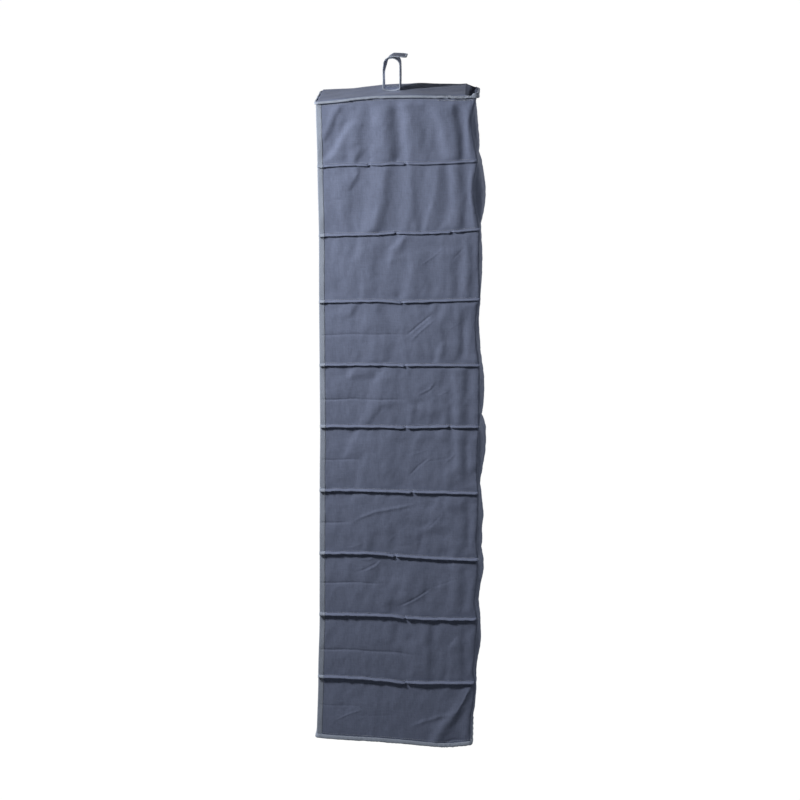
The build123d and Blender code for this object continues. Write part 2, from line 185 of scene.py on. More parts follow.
# ------------------------------------------------------------------ folds in the side cloth
# Per compartment from the top, the flanks of its soft folds: width in thousandths of the depth,
# slope (+ faces the front, - faces the back), then two or more points, each a share of the
# depth from the front and a share of the compartment's height from its top.
FLANKS = {
    1: [(17.5, .44, .957, .04, .962, .96), (17.5, .5, .117, .06, .089, .26, .066, .46),
        (14, -.9, .16, .07, .113, .29, .051, .63),
        (17.5, 1.1, .212, .32, .172, .49, .118, .7, .058, .92),
        (21, .35, .24, .15, .228, .48, .217, .78), (10.5, .7, .212, .75, .215, .93),
        (17.5, -.5, .296, .16, .278, .49, .255, .75), (10.5, -.9, .274, .76, .246, .96),
        (31.5, .85, .371, .12, .372, .5, .359, .94), (28, -.85, .47, .15, .466, .5, .479, .94),
        (24.5, 1.1, .533, .07, .547, .51, .554, .98), (31.5, -.4, .613, .21, .647, .5, .668, .86),
        (24.5, .9, .719, .12, .766, .5, .799, .95), (14, .4, .819, .09, .824, .24),
        (21, -1.1, .863, .09, .878, .51, .893, .96), (14, .8, .925, .13, .934, .52, .937, .97),
        (14, -.6, .968, .13, .969, .95)],
    2: [(17.5, .52, .957, .04, .962, .96), (42, .25, .099, .14, .113, .49, .145, .95),
        (10.5, .9, .214, .02, .231, .11, .237, .19), (10.5, -1, .264, .01, .249, .19, .196, .39),
        (17.5, -.5, .203, .36, .199, .72),
        (28, .85, .352, .02, .321, .51, .305, .72, .258, .99),
        (17.5, .6, .421, .03, .37, .58, .336, .82, .302, .99),
        (24.5, -.8, .452, .06, .428, .51, .371, .97), (28, .7, .559, .03, .541, .51, .51, .96),
        (17.5, -.6, .603, .05, .604, .51, .623, .97), (17.5, .6, .698, .02, .673, .51, .648, .97),
        (8.75, .7, .742, .03, .71, .52, .648, .94), (21, -.5, .767, .06, .758, .75),
        (17.5, .9, .83, .04, .83, .53, .818, .99), (17.5, -.8, .892, .05, .905, .55, .881, .98),
        (14, .5, .955, .09, .942, .63, .95, .96), (10.5, .7, .795, .8, .755, .97),
        (10.5, .5, .593, .82, .585, .97), (10.5, .5, .223, .79, .245, .99)],
    3: [(49, .22, .107, .06, .157, .52, .194, .91), (17.5, .5, .252, .05, .22, .4),
        (14, .45, .34, .03, .314, .23), (17.5, .9, .522, .04, .452, .23, .433, .44),
        (17.5, .3, .426, .44, .375, .92), (14, -.6, .547, .05, .502, .3),
        (28, .55, .571, .23, .551, .6, .531, .98), (24.5, -.35, .371, .14, .344, .68),
        (24.5, .35, .735, .25, .725, .95), (17.5, .8, .91, .3, .896, .63, .881, .96),
        (17.5, -.5, .848, .26, .844, .96), (8.75, .35, .798, .08, .8, .96),
        (10.5, .4, .263, .6, .263, .96), (14, .5, .532, .83, .506, .98),
        (28, -.25, .635, .15, .644, .91), (14, -.6, .948, .21, .932, .94)],
    4: [(17.5, .36, .957, .04, .962, .96), (28, .35, .156, .02, .15, .22),
        (10.5, -.6, .25, .02, .193, .25), (24.5, .35, .294, .02, .287, .45),
        (38.5, -.35, .375, .03, .406, .53, .418, .95), (14, .5, .531, .68, .519, .98),
        (10.5, .6, .594, .02, .6, .25), (14, .6, .706, .01, .694, .16),
        (14, .8, .775, .01, .75, .29), (14, .5, .844, .02, .857, .36),
        (9.1, -.8, .75, .31, .776, .54, .783, .88), (10.5, .8, .757, .63, .726, .97),
        (14, -.8, .888, .11, .883, .88), (14, .5, .913, .3, .909, .94),
        (14, -.4, .969, .07, .959, .91), (24.5, .25, .481, .04, .475, .45),
        (28, .25, .318, .6, .305, .95)],
    5: [(17.5, .8, .217, .04, .172, .22), (14, .55, .399, .06, .348, .29),
        (28, .55, .374, .14, .341, .4, .321, .58, .264, .95), (12.25, -.6, .39, .64, .301, .98),
        (24.5, -.35, .481, .08, .465, .69), (12.25, -.7, .598, .56, .571, .95),
        (14, .8, .56, .63, .558, .98), (14, .6, .635, .56, .621, .85),
        (14, .5, .773, .75, .778, .98), (9.1, -.7, .811, .62, .803, .95),
        (17.5, .8, .82, .05, .843, .47, .847, .98), (14, -.5, .757, .1, .756, .36),
        (17.5, -.8, .908, .07, .909, .95), (12.25, .5, .959, .1, .953, .95),
        (14, .4, .682, .07, .687, .3), (28, -.2, .254, .11, .24, .53)],
    6: [(17.5, .6, .239, .05, .196, .24, .154, .49), (14, .45, .314, .05, .309, .23),
        (14, .45, .37, .05, .372, .23), (14, .45, .445, .05, .428, .2),
        (17.5, .5, .279, .42, .255, .64, .239, .96), (31.5, -.35, .465, .2, .478, .94),
        (14, .5, .627, .04, .597, .23), (14, .6, .753, .04, .742, .25),
        (12.25, -.6, .815, .04, .81, .19), (15.75, .8, .847, .04, .856, .4, .84, .68),
        (15.75, -1, .909, .04, .905, .88), (12.25, .7, .942, .16, .94, .67),
        (14, .4, .564, .75, .578, .96), (14, .4, .653, .84, .654, .97),
        (14, .35, .769, .5, .786, .95), (28, -.2, .193, .68, .182, .96)],
    7: [(21, .45, .227, .05, .202, .2), (15.75, -.6, .341, .62, .298, 1.01),
        (21, .3, .279, .72, .286, .99), (15.75, .6, .748, .06, .716, .27),
        (14, .6, .811, .07, .785, .28), (14, .6, .703, .44, .659, .59),
        (12.25, -.6, .634, .61, .615, .98), (14, .55, .659, .69, .621, .98),
        (15.75, .55, .828, .55, .826, .96), (9.1, -.6, .785, .25, .766, .47),
        (17.5, -.7, .911, .09, .92, .87), (14, .5, .955, .17, .957, .87),
        (31.5, -.2, .466, .44, .447, .89)],
    8: [(19.25, .4, .479, .07, .45, .57), (21, .45, .553, .09, .514, .71),
        (21, -.4, .379, .12, .362, .42), (17.5, .5, .839, .04, .837, .42, .829, .91),
        (17.5, .25, .753, .11, .75, .54), (14, -.6, .439, .74, .446, .95),
        (17.5, .5, .539, .79, .534, .98), (21, -.25, .659, .13, .652, .69),
        (14, -.6, .895, .1, .892, .87), (14, .5, .94, .16, .942, .87),
        (31.5, .15, .2, .59, .189, .95)],
    9: [(14, -.6, .473, .08, .466, .43), (24.5, .4, .668, .07, .648, .38),
        (14, -.8, .706, .07, .699, .41, .708, .94), (17.5, .4, .743, .07, .744, .48),
        (14, .6, .86, .29, .82, .51, .816, .97), (10.5, -.6, .807, .47, .797, .98),
        (24.5, .3, .584, .32, .581, .91), (17.5, -.6, .902, .13, .91, .94),
        (14, .5, .953, .16, .96, .91), (21, .25, .518, .12, .515, .34)],
    10: [(14, .5, .792, .04, .783, .24),
         (24.5, .75, .952, .03, .885, .40, .800, .66, .745, .96),
         (28, -.85, .985, .05, .925, .42, .850, .70, .800, .97),
         (17.5, .45, .968, .30, .952, .92), (17.5, -.3, .736, .11, .735, .34),
         (31.5, .2, .244, .29, .221, .57), (31.5, -.15, .597, .14, .597, .49)],
}

# Narrow ridges (+) and grooves (-): width and height, mm, then points as in FLANKS.
RIDGES = {
    1: [(2.2, -.30, .475, .24, .364, .62, .259, .95), (1.5, -.4, .393, .79, .309, .95),
        (1.3, .22, .744, .14, .61, .45), (1.3, .22, .842, .31, .753, .47),
        (1.3, .2, .416, .47, .331, .73)],
    2: [(1.6, .45, .22, .02, .257, .11, .224, .22)],
    3: [(1.1, .55, .785, .21, .703, .36, .627, .47), (1.1, -.5, .911, .23, .822, .42)],
    4: [(1.3, -1.2, .707, .19, .619, .36, .538, .53), (1.5, .9, .725, .27, .644, .43, .563, .62),
        (1.2, .4, .882, .33, .801, .45)],
    5: [(1.2, .7, .725, .23, .687, .38, .605, .48), (1.1, -.4, .744, .28, .68, .43, .623, .51),
        (1, .4, .806, .41, .743, .49), (1.4, -.7, .336, .09, .374, .13, .405, .08)],
    6: [(1.3, -.8, .687, .47, .625, .58, .558, .75), (1.2, .4, .555, .44, .624, .39, .686, .34),
        (1.1, -.45, .669, .53, .788, .48), (1.3, .6, .788, .53, .819, .48, .85, .4),
        (1.2, .4, .644, .55, .7, .48)],
    7: [(2, 1.3, .203, .51, .265, .42, .353, .33, .478, .26, .622, .18),
        (1.3, .4, .18, .93, .285, .83), (1.1, .35, .428, .8, .484, .66),
        (1.2, -.45, .659, .59, .703, .49, .766, .33), (1.3, -.4, .497, .85, .59, .81)],
    8: [(1.8, 1, .255, .09, .305, .1, .348, .06),
        (1.4, -.7, .391, .03, .355, .16, .287, .25, .224, .31),
        (1.4, .5, .386, .09, .349, .21, .274, .3), (1.3, -.9, .7, .5, .595, .69, .496, .84),
        (1.2, .4, .7, .53, .595, .72, .502, .86), (1.1, -.4, .7, .49, .78, .41, .861, .33),
        (1.1, .4, .867, .92, .903, .77)],
    9: [(1.2, -.4, .873, .25, .825, .4)],
    10: [(1.2, .7, .114, .7, .202, .59, .291, .5), (1.1, -.4, .266, .61, .496, .56),
         (2.4, 1.3, .600, .72, .690, .62, .790, .53, .870, .50),
         (1.6, 1.5, .972, .02, .925, .30, .880, .52),
         (1.6, -1.2, .800, .98, .880, .90, .975, .93), (1, .3, .273, .66, .349, .56)],
}

# A level crease from the front edge: share of the depth where it ends, share of height, mm.
MID_CREASE = {2: (.201, .49, -.25), 4: (.544, .52, -.7), 5: (.541, .56, -.9),
              6: (.28, .52, -.7), 7: (.203, .51, -.8), 8: (.412, .48, -.8),
              9: (.625, .56, -.9), 10: (.309, .46, -.4)}
FOLD_GAIN = {1: 0.96, 2: 0.84, 3: 0.92, 4: 1.0, 5: 0.86,
             6: 0.86, 7: 0.97, 8: 0.95, 9: 0.88, 10: 0.90}   # depth of the soft folds
FLANK_SLOPE = 0.44                       # slope of a flank of strength 1
FLANK_SOFT = 7.7                         # added to every flank's width, thousandths of the depth
RIDGE_HEIGHT, RIDGE_SPREAD = 0.72, 1.55  # factors on every ridge's height and width
LEFT_ORDER = [4, 7, 2, 9, 3, 8, 5, 10, 1, 6]       # the folds that the left side's levels take

# ------------------------------------------------------------------ the sleeve's grid
# A run is a distance round the cloth from the right front edge to the left one.
SIDE_RUN = DEPTH - CORNER
ARC_RUN = math.pi * CORNER / 2
BACK_RUN = 2 * (HALF_W - CORNER)
TOTAL_RUN = 2 * SIDE_RUN + 2 * ARC_RUN + BACK_RUN
STEP = 1.6
ARC_STEP = 0.9
FOLD_REACH = 301.0                       # the side's folds end at this run


def stations(start, end, step):
    count = max(2, int(round((end - start) / step)))
    return np.linspace(start, end, count + 1)[:-1]


RUNS = np.concatenate([
    stations(0, SIDE_RUN, STEP),
    stations(SIDE_RUN, SIDE_RUN + ARC_RUN, ARC_STEP),
    stations(SIDE_RUN + ARC_RUN, TOTAL_RUN - SIDE_RUN - ARC_RUN, STEP * 1.15),
    stations(TOTAL_RUN - SIDE_RUN - ARC_RUN, TOTAL_RUN - SIDE_RUN, ARC_STEP),
    stations(TOTAL_RUN - SIDE_RUN, TOTAL_RUN, STEP), [TOTAL_RUN]])
ROWS = int(round(PITCH / STEP))          # rows of quads in a compartment
BREAKS = [TOP - 1.4, *LEVELS[1:-1], BOTTOM + 1.2]
ROW_Z = np.concatenate([np.linspace(BREAKS[k], BREAKS[k + 1], ROWS + 1)[:-1] for k in range(10)]
                       + [[BREAKS[-1]]])
BACK_SHARE = (RUNS - SIDE_RUN - ARC_RUN) / BACK_RUN


def rows_of(k):
    return slice(k * ROWS, k * ROWS + ROWS + 1)


def share_down(k):
    return np.clip((LEVELS[k] - ROW_Z[rows_of(k)]) / PITCH, 0, 1)


def level_gap(z):
    return np.min(np.abs(z[:, None] - LEVELS[None, :]), axis=1)


ROW_GAP = level_gap(ROW_Z)


def plan_outline(run):
    """x, y and outward normal x, y of the sleeve's plan outline."""
    right = run <= TOTAL_RUN / 2
    side = np.where(right, 1.0, -1.0)
    near = np.where(right, run, TOTAL_RUN - run)
    turn = np.clip((near - SIDE_RUN) / CORNER, 0, math.pi / 2)
    on_back = np.clip(near - SIDE_RUN - ARC_RUN, 0, None)
    x = side * (HALF_W - CORNER + CORNER * np.cos(turn) - on_back)
    y = FRONT + np.minimum(near, SIDE_RUN) + CORNER * np.sin(turn)
    return x, y, side * np.cos(turn), np.sin(turn)


def taper(down, start, end):
    """Fades a flank at an end inside the compartment; an end near a seam runs into it."""
    weight = np.ones_like(down)
    if start > 0.07:
        weight = weight * smoothstep(start - 0.05, start + 0.09, down)
    if end < 0.93:
        weight = weight * (1 - smoothstep(end - 0.09, end + 0.05, down))
    return weight


def flank_slopes(source, mirrored, down, share):
    """Slope of the cloth from front to back, summed over a compartment's flanks."""
    slope = np.zeros((len(down), share.shape[1]))
    for width, strength, *points in FLANKS[source]:
        place, level = np.reshape(points, (-1, 2)).T
        if mirrored:
            place, width, strength = place * 0.93 + 0.05, width * 1.1, -strength
        first, last = ((place[b] - place[a]) / max(level[b] - level[a], 1e-3)
                       for a, b in ((0, 1), (-2, -1)))
        centre = (np.interp(down, level, place) + first * np.minimum(down - level[0], 0)
                  + last * np.maximum(down - level[-1], 0))
        gain = (strength * FOLD_GAIN[source] * FLANK_SLOPE
                * (width / (width + FLANK_SOFT)) ** 0.5)
        spread = (width + FLANK_SOFT) / 1000
        slope += (gain * taper(down[:, None], level[0], level[-1])
                  * np.exp(-((share - centre[:, None]) / spread) ** 2))
    return slope


def ridge_height(width, height, places, across, below):
    """One ridge or groove along a polyline of places, mm."""
    nearest = np.full(np.broadcast(across, below).shape, 1e9)
    along = np.zeros(nearest.shape)
    total = 0.0
    for (x0, z0), (x1, z1) in zip(places[:-1], places[1:]):
        dx, dz = x1 - x0, z1 - z0
        length = math.hypot(dx, dz)
        part = np.clip(((across - x0) * dx + (below - z0) * dz) / length ** 2, 0, 1)
        away = np.hypot(across - x0 - part * dx, below - z0 - part * dz)
        along = np.where(away < nearest, total + part * length, along)
        nearest = np.minimum(nearest, away)
        total += length
    fade = smoothstep(0, 0.25 * total, along) * (1 - smoothstep(0.75 * total, total, along))
    return (RIDGE_HEIGHT * height * (0.15 + 0.85 * fade)
            * np.exp(-(nearest / (width * RIDGE_SPREAD)) ** 2))


def fold_heights(source, mirrored, down, run):
    """Height of one compartment's side cloth: rows by share from its top, columns by run."""
    share = run[None, :] / DEPTH
    slope = flank_slopes(source, mirrored, down, share)
    height = np.cumsum(slope * np.diff(run, prepend=run[0])[None, :], axis=1)
    mean_step = (run[-1] - run[0]) / (len(run) - 1)
    height = height - 0.95 * soften_rows(height, 38.0 / mean_step)
    for width, rise, *points in RIDGES[source]:
        places = np.reshape(points, (-1, 2))
        if mirrored:
            places = places * [-1, 1] + [1, 0]
        height += ridge_height(width, rise, places * [DEPTH, PITCH],
                               share * DEPTH, down[:, None] * PITCH)
    if source in MID_CREASE:
        end, level, depth = MID_CREASE[source]
        away = np.abs(down[:, None] - level - 0.006 * np.sin(share * 23.0)) * PITCH
        fade = 1 - smoothstep(end - 0.12, end + 0.03, share)
        shape = 1.1 * np.exp(-away / 9.0) + 0.75 * np.exp(-(away / 1.3) ** 2)
        height += depth * fade * shape * (1.25 - 0.45 * share)
    return height


SIDE_COLUMNS = int(np.searchsorted(RUNS, FOLD_REACH))
SIDE_RUNS = RUNS[:SIDE_COLUMNS]


def side_heights(order, mirrored, seed):
    """Outward heights of a whole side, whose compartments take their folds in the given order."""
    shape = (len(ROW_Z), SIDE_COLUMNS)
    heights = np.zeros(shape)
    crumple = noise_grid(shape, (STEP, STEP),
                         [(30, 60, 0.22), (11, 16, 0.045), (4.0, 4.5, 0.012)], seed)
    for k in range(10):
        down = share_down(0) if k == 0 else np.linspace(0, 1, ROWS + 1)
        fold = fold_heights(order[k], mirrored, down, SIDE_RUNS)
        ends = np.minimum(smoothstep(-0.02, 0.10, down), 1 - smoothstep(0.90, 1.02, down))
        swell = 1.3 * np.sin(np.pi * down) ** 0.8
        fold = fold * (0.34 + 0.66 * ends)[:, None] + swell[:, None]
        if k == 0:
            # held flat under the top's edging
            under = 1 - smoothstep(0.03, 0.13, down)[:, None]
            fold = fold * (1 - 0.85 * under) - 0.5 * under
        block = fold + crumple[rows_of(k)] * (0.25 + 0.75 * ends[:, None])
        if k:
            block[0] = 0.5 * (block[0] + heights[k * ROWS])
        heights[rows_of(k)] = block
    # the seam holds the cloth off the shelf, so near a level it goes inwards only a little
    lowest = -0.3 - 3.6 * smoothstep(0.5, 13.0, ROW_GAP)
    heights = np.maximum(heights, lowest[:, None]) * 0.75 + heights * 0.25
    edge = smoothstep(-1.0, 13.0, SIDE_RUNS) * (1 - smoothstep(284.0, 298.0, SIDE_RUNS))
    return heights * np.where(SIDE_RUNS > 150, edge, 0.25 + 0.75 * edge)[None, :]


# Per compartment from the top: (share of its height from the top, mm towards the back) for the
# back corners and for the middle of the back panel.
CORNER_SHIFT = [
    [(0, 0), (.15, -5), (.35, -10), (.6, -8), (.85, -3), (1, 0)],
    [(0, 0), (.12, -2), (.3, -6), (.5, -8), (.75, -6), (1, 0)],
    [(0, 0), (.5, -1.5), (1, 0)],
    [(0, 0), (.15, -5), (.4, -7.5), (.7, -5.5), (1, 0)],
    [(0, 0), (.4, 0.5), (1, 0)],
    [(0, 0), (.3, -1.5), (.8, -3), (1, 0)],
    [(0, 0), (.4, -1), (.75, -4), (1, 0)],
    [(0, 0), (.3, -1), (.75, -6), (1, 0)],
    [(0, 0), (.5, -2.5), (.85, -5), (1, 0)],
    [(0, 0), (.25, -1), (.55, -3), (.85, -1), (1, 0)]]
BILLOW = [
    [(0, -2), (.1, -6), (.3, -3), (.5, -1), (.8, 1), (1, 0)],
    [(0, 0), (.1, 6), (.4, 11), (.62, 10.5), (.87, 5), (1, 0)],
    [(0, 0), (.2, 0), (.5, 2.5), (.8, 1), (1, 0)],
    [(0, 0), (.2, -3), (.4, -6.5), (.75, -6), (1, 0)],
    [(0, 0), (.3, 6.5), (.6, 7.5), (.85, 5), (1, 0)],
    [(0, 0), (.12, 11), (.3, 11), (.5, 10), (.7, 5.5), (.9, 1), (1, 0)],
    [(0, 0), (.25, 3), (.5, 7), (.72, 3.5), (.9, 6), (1, 2)],
    [(0, 0), (.1, 7), (.35, 9), (.6, 2.5), (.8, -1), (1, 0)],
    [(0, 0), (.2, 4), (.5, 7), (.75, 0), (.9, -1), (1, 0)],
    [(0, -1), (.3, 1), (.5, 2), (.75, 0.5), (1, 0)]]


def down_the_rows(table):
    """A shift for every row, softened, and all but pinned at the levels."""
    shifts = np.zeros(len(ROW_Z))
    for k, knots in enumerate(table):
        shifts[rows_of(k)] = np.interp(share_down(k), *zip(*knots))
    soft = soften(shifts, 9, 5.0 / STEP, mode="edge")
    return soft * (0.12 + 0.88 * smoothstep(0, 6.0, ROW_GAP))


def back_heights():
    """Near-upright folds across the back, gathered at every level."""
    shape = (len(ROW_Z), len(RUNS))
    rng = np.random.default_rng(71)
    slope = np.zeros(shape)
    for k in range(10):
        down = share_down(k)[:, None]
        for j in range(9):
            centre = (j + rng.uniform(.15, .85)) / 9
            drift = rng.uniform(-.07, .07)
            strength = rng.uniform(.35, 1.0) * (-1) ** j * 0.22
            start, end = -.1, 1.1
            if not rng.uniform() > .35:
                start, end = (-.1, .6) if rng.uniform() > .5 else (.45, 1.1)
            fade = smoothstep(start, start + .25, down) * (1 - smoothstep(end - .25, end, down))
            away = (BACK_SHARE[None, :] - (centre + drift * down)) / rng.uniform(.022, .05)
            slope[rows_of(k)] += strength * fade * np.exp(-away ** 2)
    on_back = smoothstep(-0.12, 0.06, BACK_SHARE) * (1 - smoothstep(0.94, 1.12, BACK_SHARE))
    folds = np.cumsum(slope * on_back * np.diff(RUNS, prepend=RUNS[0])[None, :], axis=1)
    folds = folds - soften_rows(folds, 26.0 / STEP)
    crumple = noise_grid(shape, (STEP, STEP), [(14, 26, 0.28), (5, 6, 0.07)], 5)
    gather = 0.3 + 0.7 * smoothstep(0, 12, ROW_GAP)
    heights = (folds + crumple) * gather[:, None] * on_back[None, :]
    # a stitch line sinks into the back at every level
    within = smoothstep(0.0, 0.05, BACK_SHARE) * (1 - smoothstep(0.95, 1.0, BACK_SHARE))
    return heights - (0.9 * np.exp(-(ROW_GAP / 1.6) ** 2))[:, None] * within[None, :]


def sleeve_heights():
    """Outward height of the cloth over its plan outline."""
    heights = back_heights()
    heights[:, :SIDE_COLUMNS] += side_heights(list(range(1, 11)), False, 11)
    # the left side's own grid is the mirror image of the right one's
    left = side_heights(LEFT_ORDER, True, 23)
    from_left = TOTAL_RUN - RUNS
    columns = np.where(from_left <= SIDE_RUNS[-1])[0]
    at = np.interp(from_left[columns], SIDE_RUNS, np.arange(SIDE_COLUMNS))
    lower = np.clip(np.floor(at).astype(int), 0, SIDE_COLUMNS - 2)
    part = at - lower
    heights[:, columns] += left[:, lower] * (1 - part) + left[:, lower + 1] * part
    return heights


def sleeve_surface(outline):
    x, y, normal_x, normal_y = outline
    heights = sleeve_heights()
    points = np.empty((*heights.shape, 3))
    points[..., 0] = x[None, :] + heights * normal_x[None, :]
    points[..., 1] = y[None, :] + heights * normal_y[None, :]
    points[..., 2] = ROW_Z[:, None]
    shift = down_the_rows(CORNER_SHIFT)[:, None]
    middle = SIDE_RUN + ARC_RUN / 2
    for centre, side, gain in ((middle, 1.0, 1.0), (TOTAL_RUN - middle, -1.0, 0.6)):
        away = RUNS - centre
        reach = np.where(np.sign(away) == -side, 15.0, 12.0)
        weight = np.exp(-np.abs(away / reach) ** 1.7)[None, :]
        points[..., 1] += shift * weight * gain
        points[..., 0] += side * 0.10 * shift * weight * gain
    bulge = np.clip(np.sin(np.pi * np.clip(BACK_SHARE, 0, 1)), 0, 1) ** 0.55
    points[..., 1] += down_the_rows(BILLOW)[:, None] * bulge[None, :]
    return drape(points)


def outward_normals(surface, outline):
    normals = np.cross(np.gradient(surface, axis=1), np.gradient(surface, axis=0))
    normals /= np.linalg.norm(normals, axis=2, keepdims=True) + 1e-12
    facing = normals[..., 0] * outline[2][None, :] + normals[..., 1] * outline[3][None, :]
    return -normals if float(facing.mean()) < 0 else normals


OUTLINE = plan_outline(RUNS)
SURFACE = sleeve_surface(OUTLINE)
NORMALS = outward_normals(SURFACE, OUTLINE)


def cloth_at(run, z, side=1):
    """Point, outward normal and tangent of the cloth, run being counted from side's front edge."""
    run, z = np.broadcast_arrays(np.asarray(run, float), np.asarray(z, float))
    if side < 0:
        run = TOTAL_RUN - run
    j = np.clip(np.searchsorted(RUNS, run) - 1, 0, len(RUNS) - 2)
    across = np.clip((run - RUNS[j]) / (RUNS[j + 1] - RUNS[j]), 0, 1)[..., None]
    fallen = -ROW_Z
    i = np.clip(np.searchsorted(fallen, -z) - 1, 0, len(fallen) - 2)
    down = np.clip((-z - fallen[i]) / (fallen[i + 1] - fallen[i]), 0, 1)[..., None]
    point = bilinear(SURFACE, i, j, down, across)
    normal = bilinear(NORMALS, i, j, down, across)
    normal = normal / np.linalg.norm(normal, axis=-1, keepdims=True)
    tangent = SURFACE[i, j + 1] - SURFACE[i, j]
    tangent = tangent / np.linalg.norm(tangent, axis=-1, keepdims=True)
    return point, normal, side * tangent


# ------------------------------------------------------------------ materials
class Tree:
    """The emptied node tree of a material or a world, with short ways to add nodes."""

    def __init__(self, owner):
        self.owner = owner
        owner.use_nodes = True
        self.nodes = owner.node_tree.nodes
        self.nodes.clear()

    def add(self, kind, **settings):
        node = self.nodes.new(kind)
        for key, value in settings.items():
            setattr(node, key, value)
        return node

    def put(self, socket, value):
        if isinstance(value, bpy.types.NodeSocket):
            self.owner.node_tree.links.new(value, socket)
        else:
            # a colour gets its alpha
            socket.default_value = (*value, 1) if isinstance(value, tuple) else value

    def node(self, kind, *values, **settings):
        """A node whose first inputs get the values; gives its first output."""
        made = self.add(kind, **settings)
        for socket, value in zip(made.inputs, values):
            self.put(socket, value)
        return made.outputs[0]

    def math(self, operation, first, second=0.0):
        return self.node("ShaderNodeMath", first, second, operation=operation)

    def plus(self, first, second):
        return self.math("ADD", first, second)

    def minus(self, first, second):
        return self.math("SUBTRACT", first, second)

    def times(self, first, second):
        return self.math("MULTIPLY", first, second)

    def vary(self, base, field, amount, mid=0.5):
        """base + (field - mid) * amount"""
        return self.plus(base, self.times(self.minus(field, mid), amount))

    def mix(self, factor, first, second):
        node = self.add("ShaderNodeMix", data_type="FLOAT")
        for index, value in ((0, factor), (2, first), (3, second)):
            self.put(node.inputs[index], value)
        return node.outputs[0]

    def mix_colour(self, factor, first, second, blend="MIX"):
        node = self.add("ShaderNodeMix", data_type="RGBA", blend_type=blend)
        for index, value in ((0, factor), (6, first), (7, second)):
            self.put(node.inputs[index], value)
        return node.outputs[2]

    def shade(self, colour, gain):
        grey = self.node("ShaderNodeCombineXYZ", gain, gain, gain)
        return self.mix_colour(1.0, colour, grey, "MULTIPLY")

    def wave(self, value, pitch_mm):
        return self.math("SINE", self.times(value, 2 * math.pi / (pitch_mm / 1000)))

    def noise(self, at, scale, detail=2.0, roughness=0.6):
        node = self.add("ShaderNodeTexNoise")
        self.put(node.inputs["Vector"], at)
        node.inputs["Scale"].default_value = scale
        node.inputs["Detail"].default_value = detail
        node.inputs["Roughness"].default_value = roughness
        return node.outputs[0]

    def streaks(self, first, second, scales, offset, detail=2.0, roughness=0.55):
        """Noise stretched by its two scales; the offset tells one pattern from another."""
        at = self.node("ShaderNodeCombineXYZ", self.times(first, scales[0]),
                       self.times(second, scales[1]), offset)
        return self.noise(at, scale=1.0, detail=detail, roughness=roughness)

    def cloth_axes(self):
        """Object position, and two coordinates along the cloth picked by the normal, metres."""
        coords = self.add("ShaderNodeTexCoord")
        place = self.add("ShaderNodeSeparateXYZ")
        self.put(place.inputs[0], coords.outputs["Object"])
        normal = self.add("ShaderNodeSeparateXYZ")
        self.put(normal.inputs[0], coords.outputs["Normal"])
        x, y, z = place.outputs
        flat = self.math("GREATER_THAN", self.math("ABSOLUTE", normal.outputs[2]), 0.72)
        facing = self.math("GREATER_THAN", self.math("ABSOLUTE", normal.outputs[1]), 0.72)
        across = self.mix(flat, self.mix(facing, y, x), x)
        return coords.outputs["Object"], across, self.mix(flat, z, y)

    def finish(self, colour, rough, height, bump, bump_depth, sheen, specular):
        output = self.add("ShaderNodeOutputMaterial")
        shader = self.add("ShaderNodeBsdfPrincipled")
        self.put(shader.inputs["Base Color"], colour)
        self.put(shader.inputs["Roughness"], rough)
        self.put(shader.inputs["Specular IOR Level"], specular)
        if sheen:
            self.put(shader.inputs["Sheen Weight"], sheen)
            self.put(shader.inputs["Sheen Roughness"], 0.45)
            self.put(shader.inputs["Sheen Tint"], (0.8, 0.85, 1.0))
        relief = self.add("ShaderNodeBump")
        self.put(relief.inputs["Strength"], bump)
        self.put(relief.inputs["Distance"], bump_depth)
        self.put(relief.inputs["Height"], height)
        self.put(shader.inputs["Normal"], relief.outputs[0])
        self.put(output.inputs[0], shader.outputs[0])
        return self.owner


def new_tree(name):
    return Tree(bpy.data.materials.new(name))


def woven(name, base, contrast=0.10, thread_mm=0.9, slub=0.16):
    """Plain weave with uneven threads. contrast: weave, slub: how uneven the threads are."""
    t = new_tree(name)
    place, across, up = t.cloth_axes()
    warp = t.wave(across, thread_mm)
    weft = t.wave(up, thread_mm)
    plain = t.times(warp, weft)
    ridge = t.plus(t.times(t.math("ABSOLUTE", warp), 0.5), t.times(t.math("ABSOLUTE", weft), 0.5))
    weave = t.plus(t.times(plain, 0.35), ridge)
    upright = t.streaks(across, up, scales=(620.0, 46.0), offset=0.0)
    level = t.streaks(across, up, scales=(46.0, 620.0), offset=3.1)
    fine = t.noise(place, scale=900.0)
    broad = t.noise(place, scale=9.0, detail=3.0, roughness=0.55)
    patch = t.noise(place, scale=55.0, detail=3.0)
    slant = t.streaks(t.plus(across, up), t.minus(across, up), scales=(420.0, 130.0),
                      offset=1.7, roughness=0.6)
    slubs = t.vary(t.minus(upright, 0.5), level, amount=0.8)
    gain = t.plus(1.0, t.times(slubs, slub * 2.2))
    gain = t.vary(gain, broad, amount=0.16)
    gain = t.vary(gain, patch, amount=0.10)
    gain = t.vary(gain, weave, amount=contrast, mid=0.6)
    gain = t.vary(gain, fine, amount=0.10)
    gain = t.vary(gain, slant, amount=0.26)
    warmer = tuple(c * m for c, m in zip(base, (1.06, 1.02, 0.95)))
    tint = t.mix_colour(t.times(patch, 0.35), base, warmer)
    height = t.plus(t.times(weave, 0.55), t.plus(t.times(slubs, 1.3), t.times(fine, 0.25)))
    return t.finish(t.shade(tint, gain), rough=t.plus(0.75, t.times(patch, 0.14)), height=height,
                    bump=0.32, bump_depth=0.00018, sheen=0.06, specular=0.10)


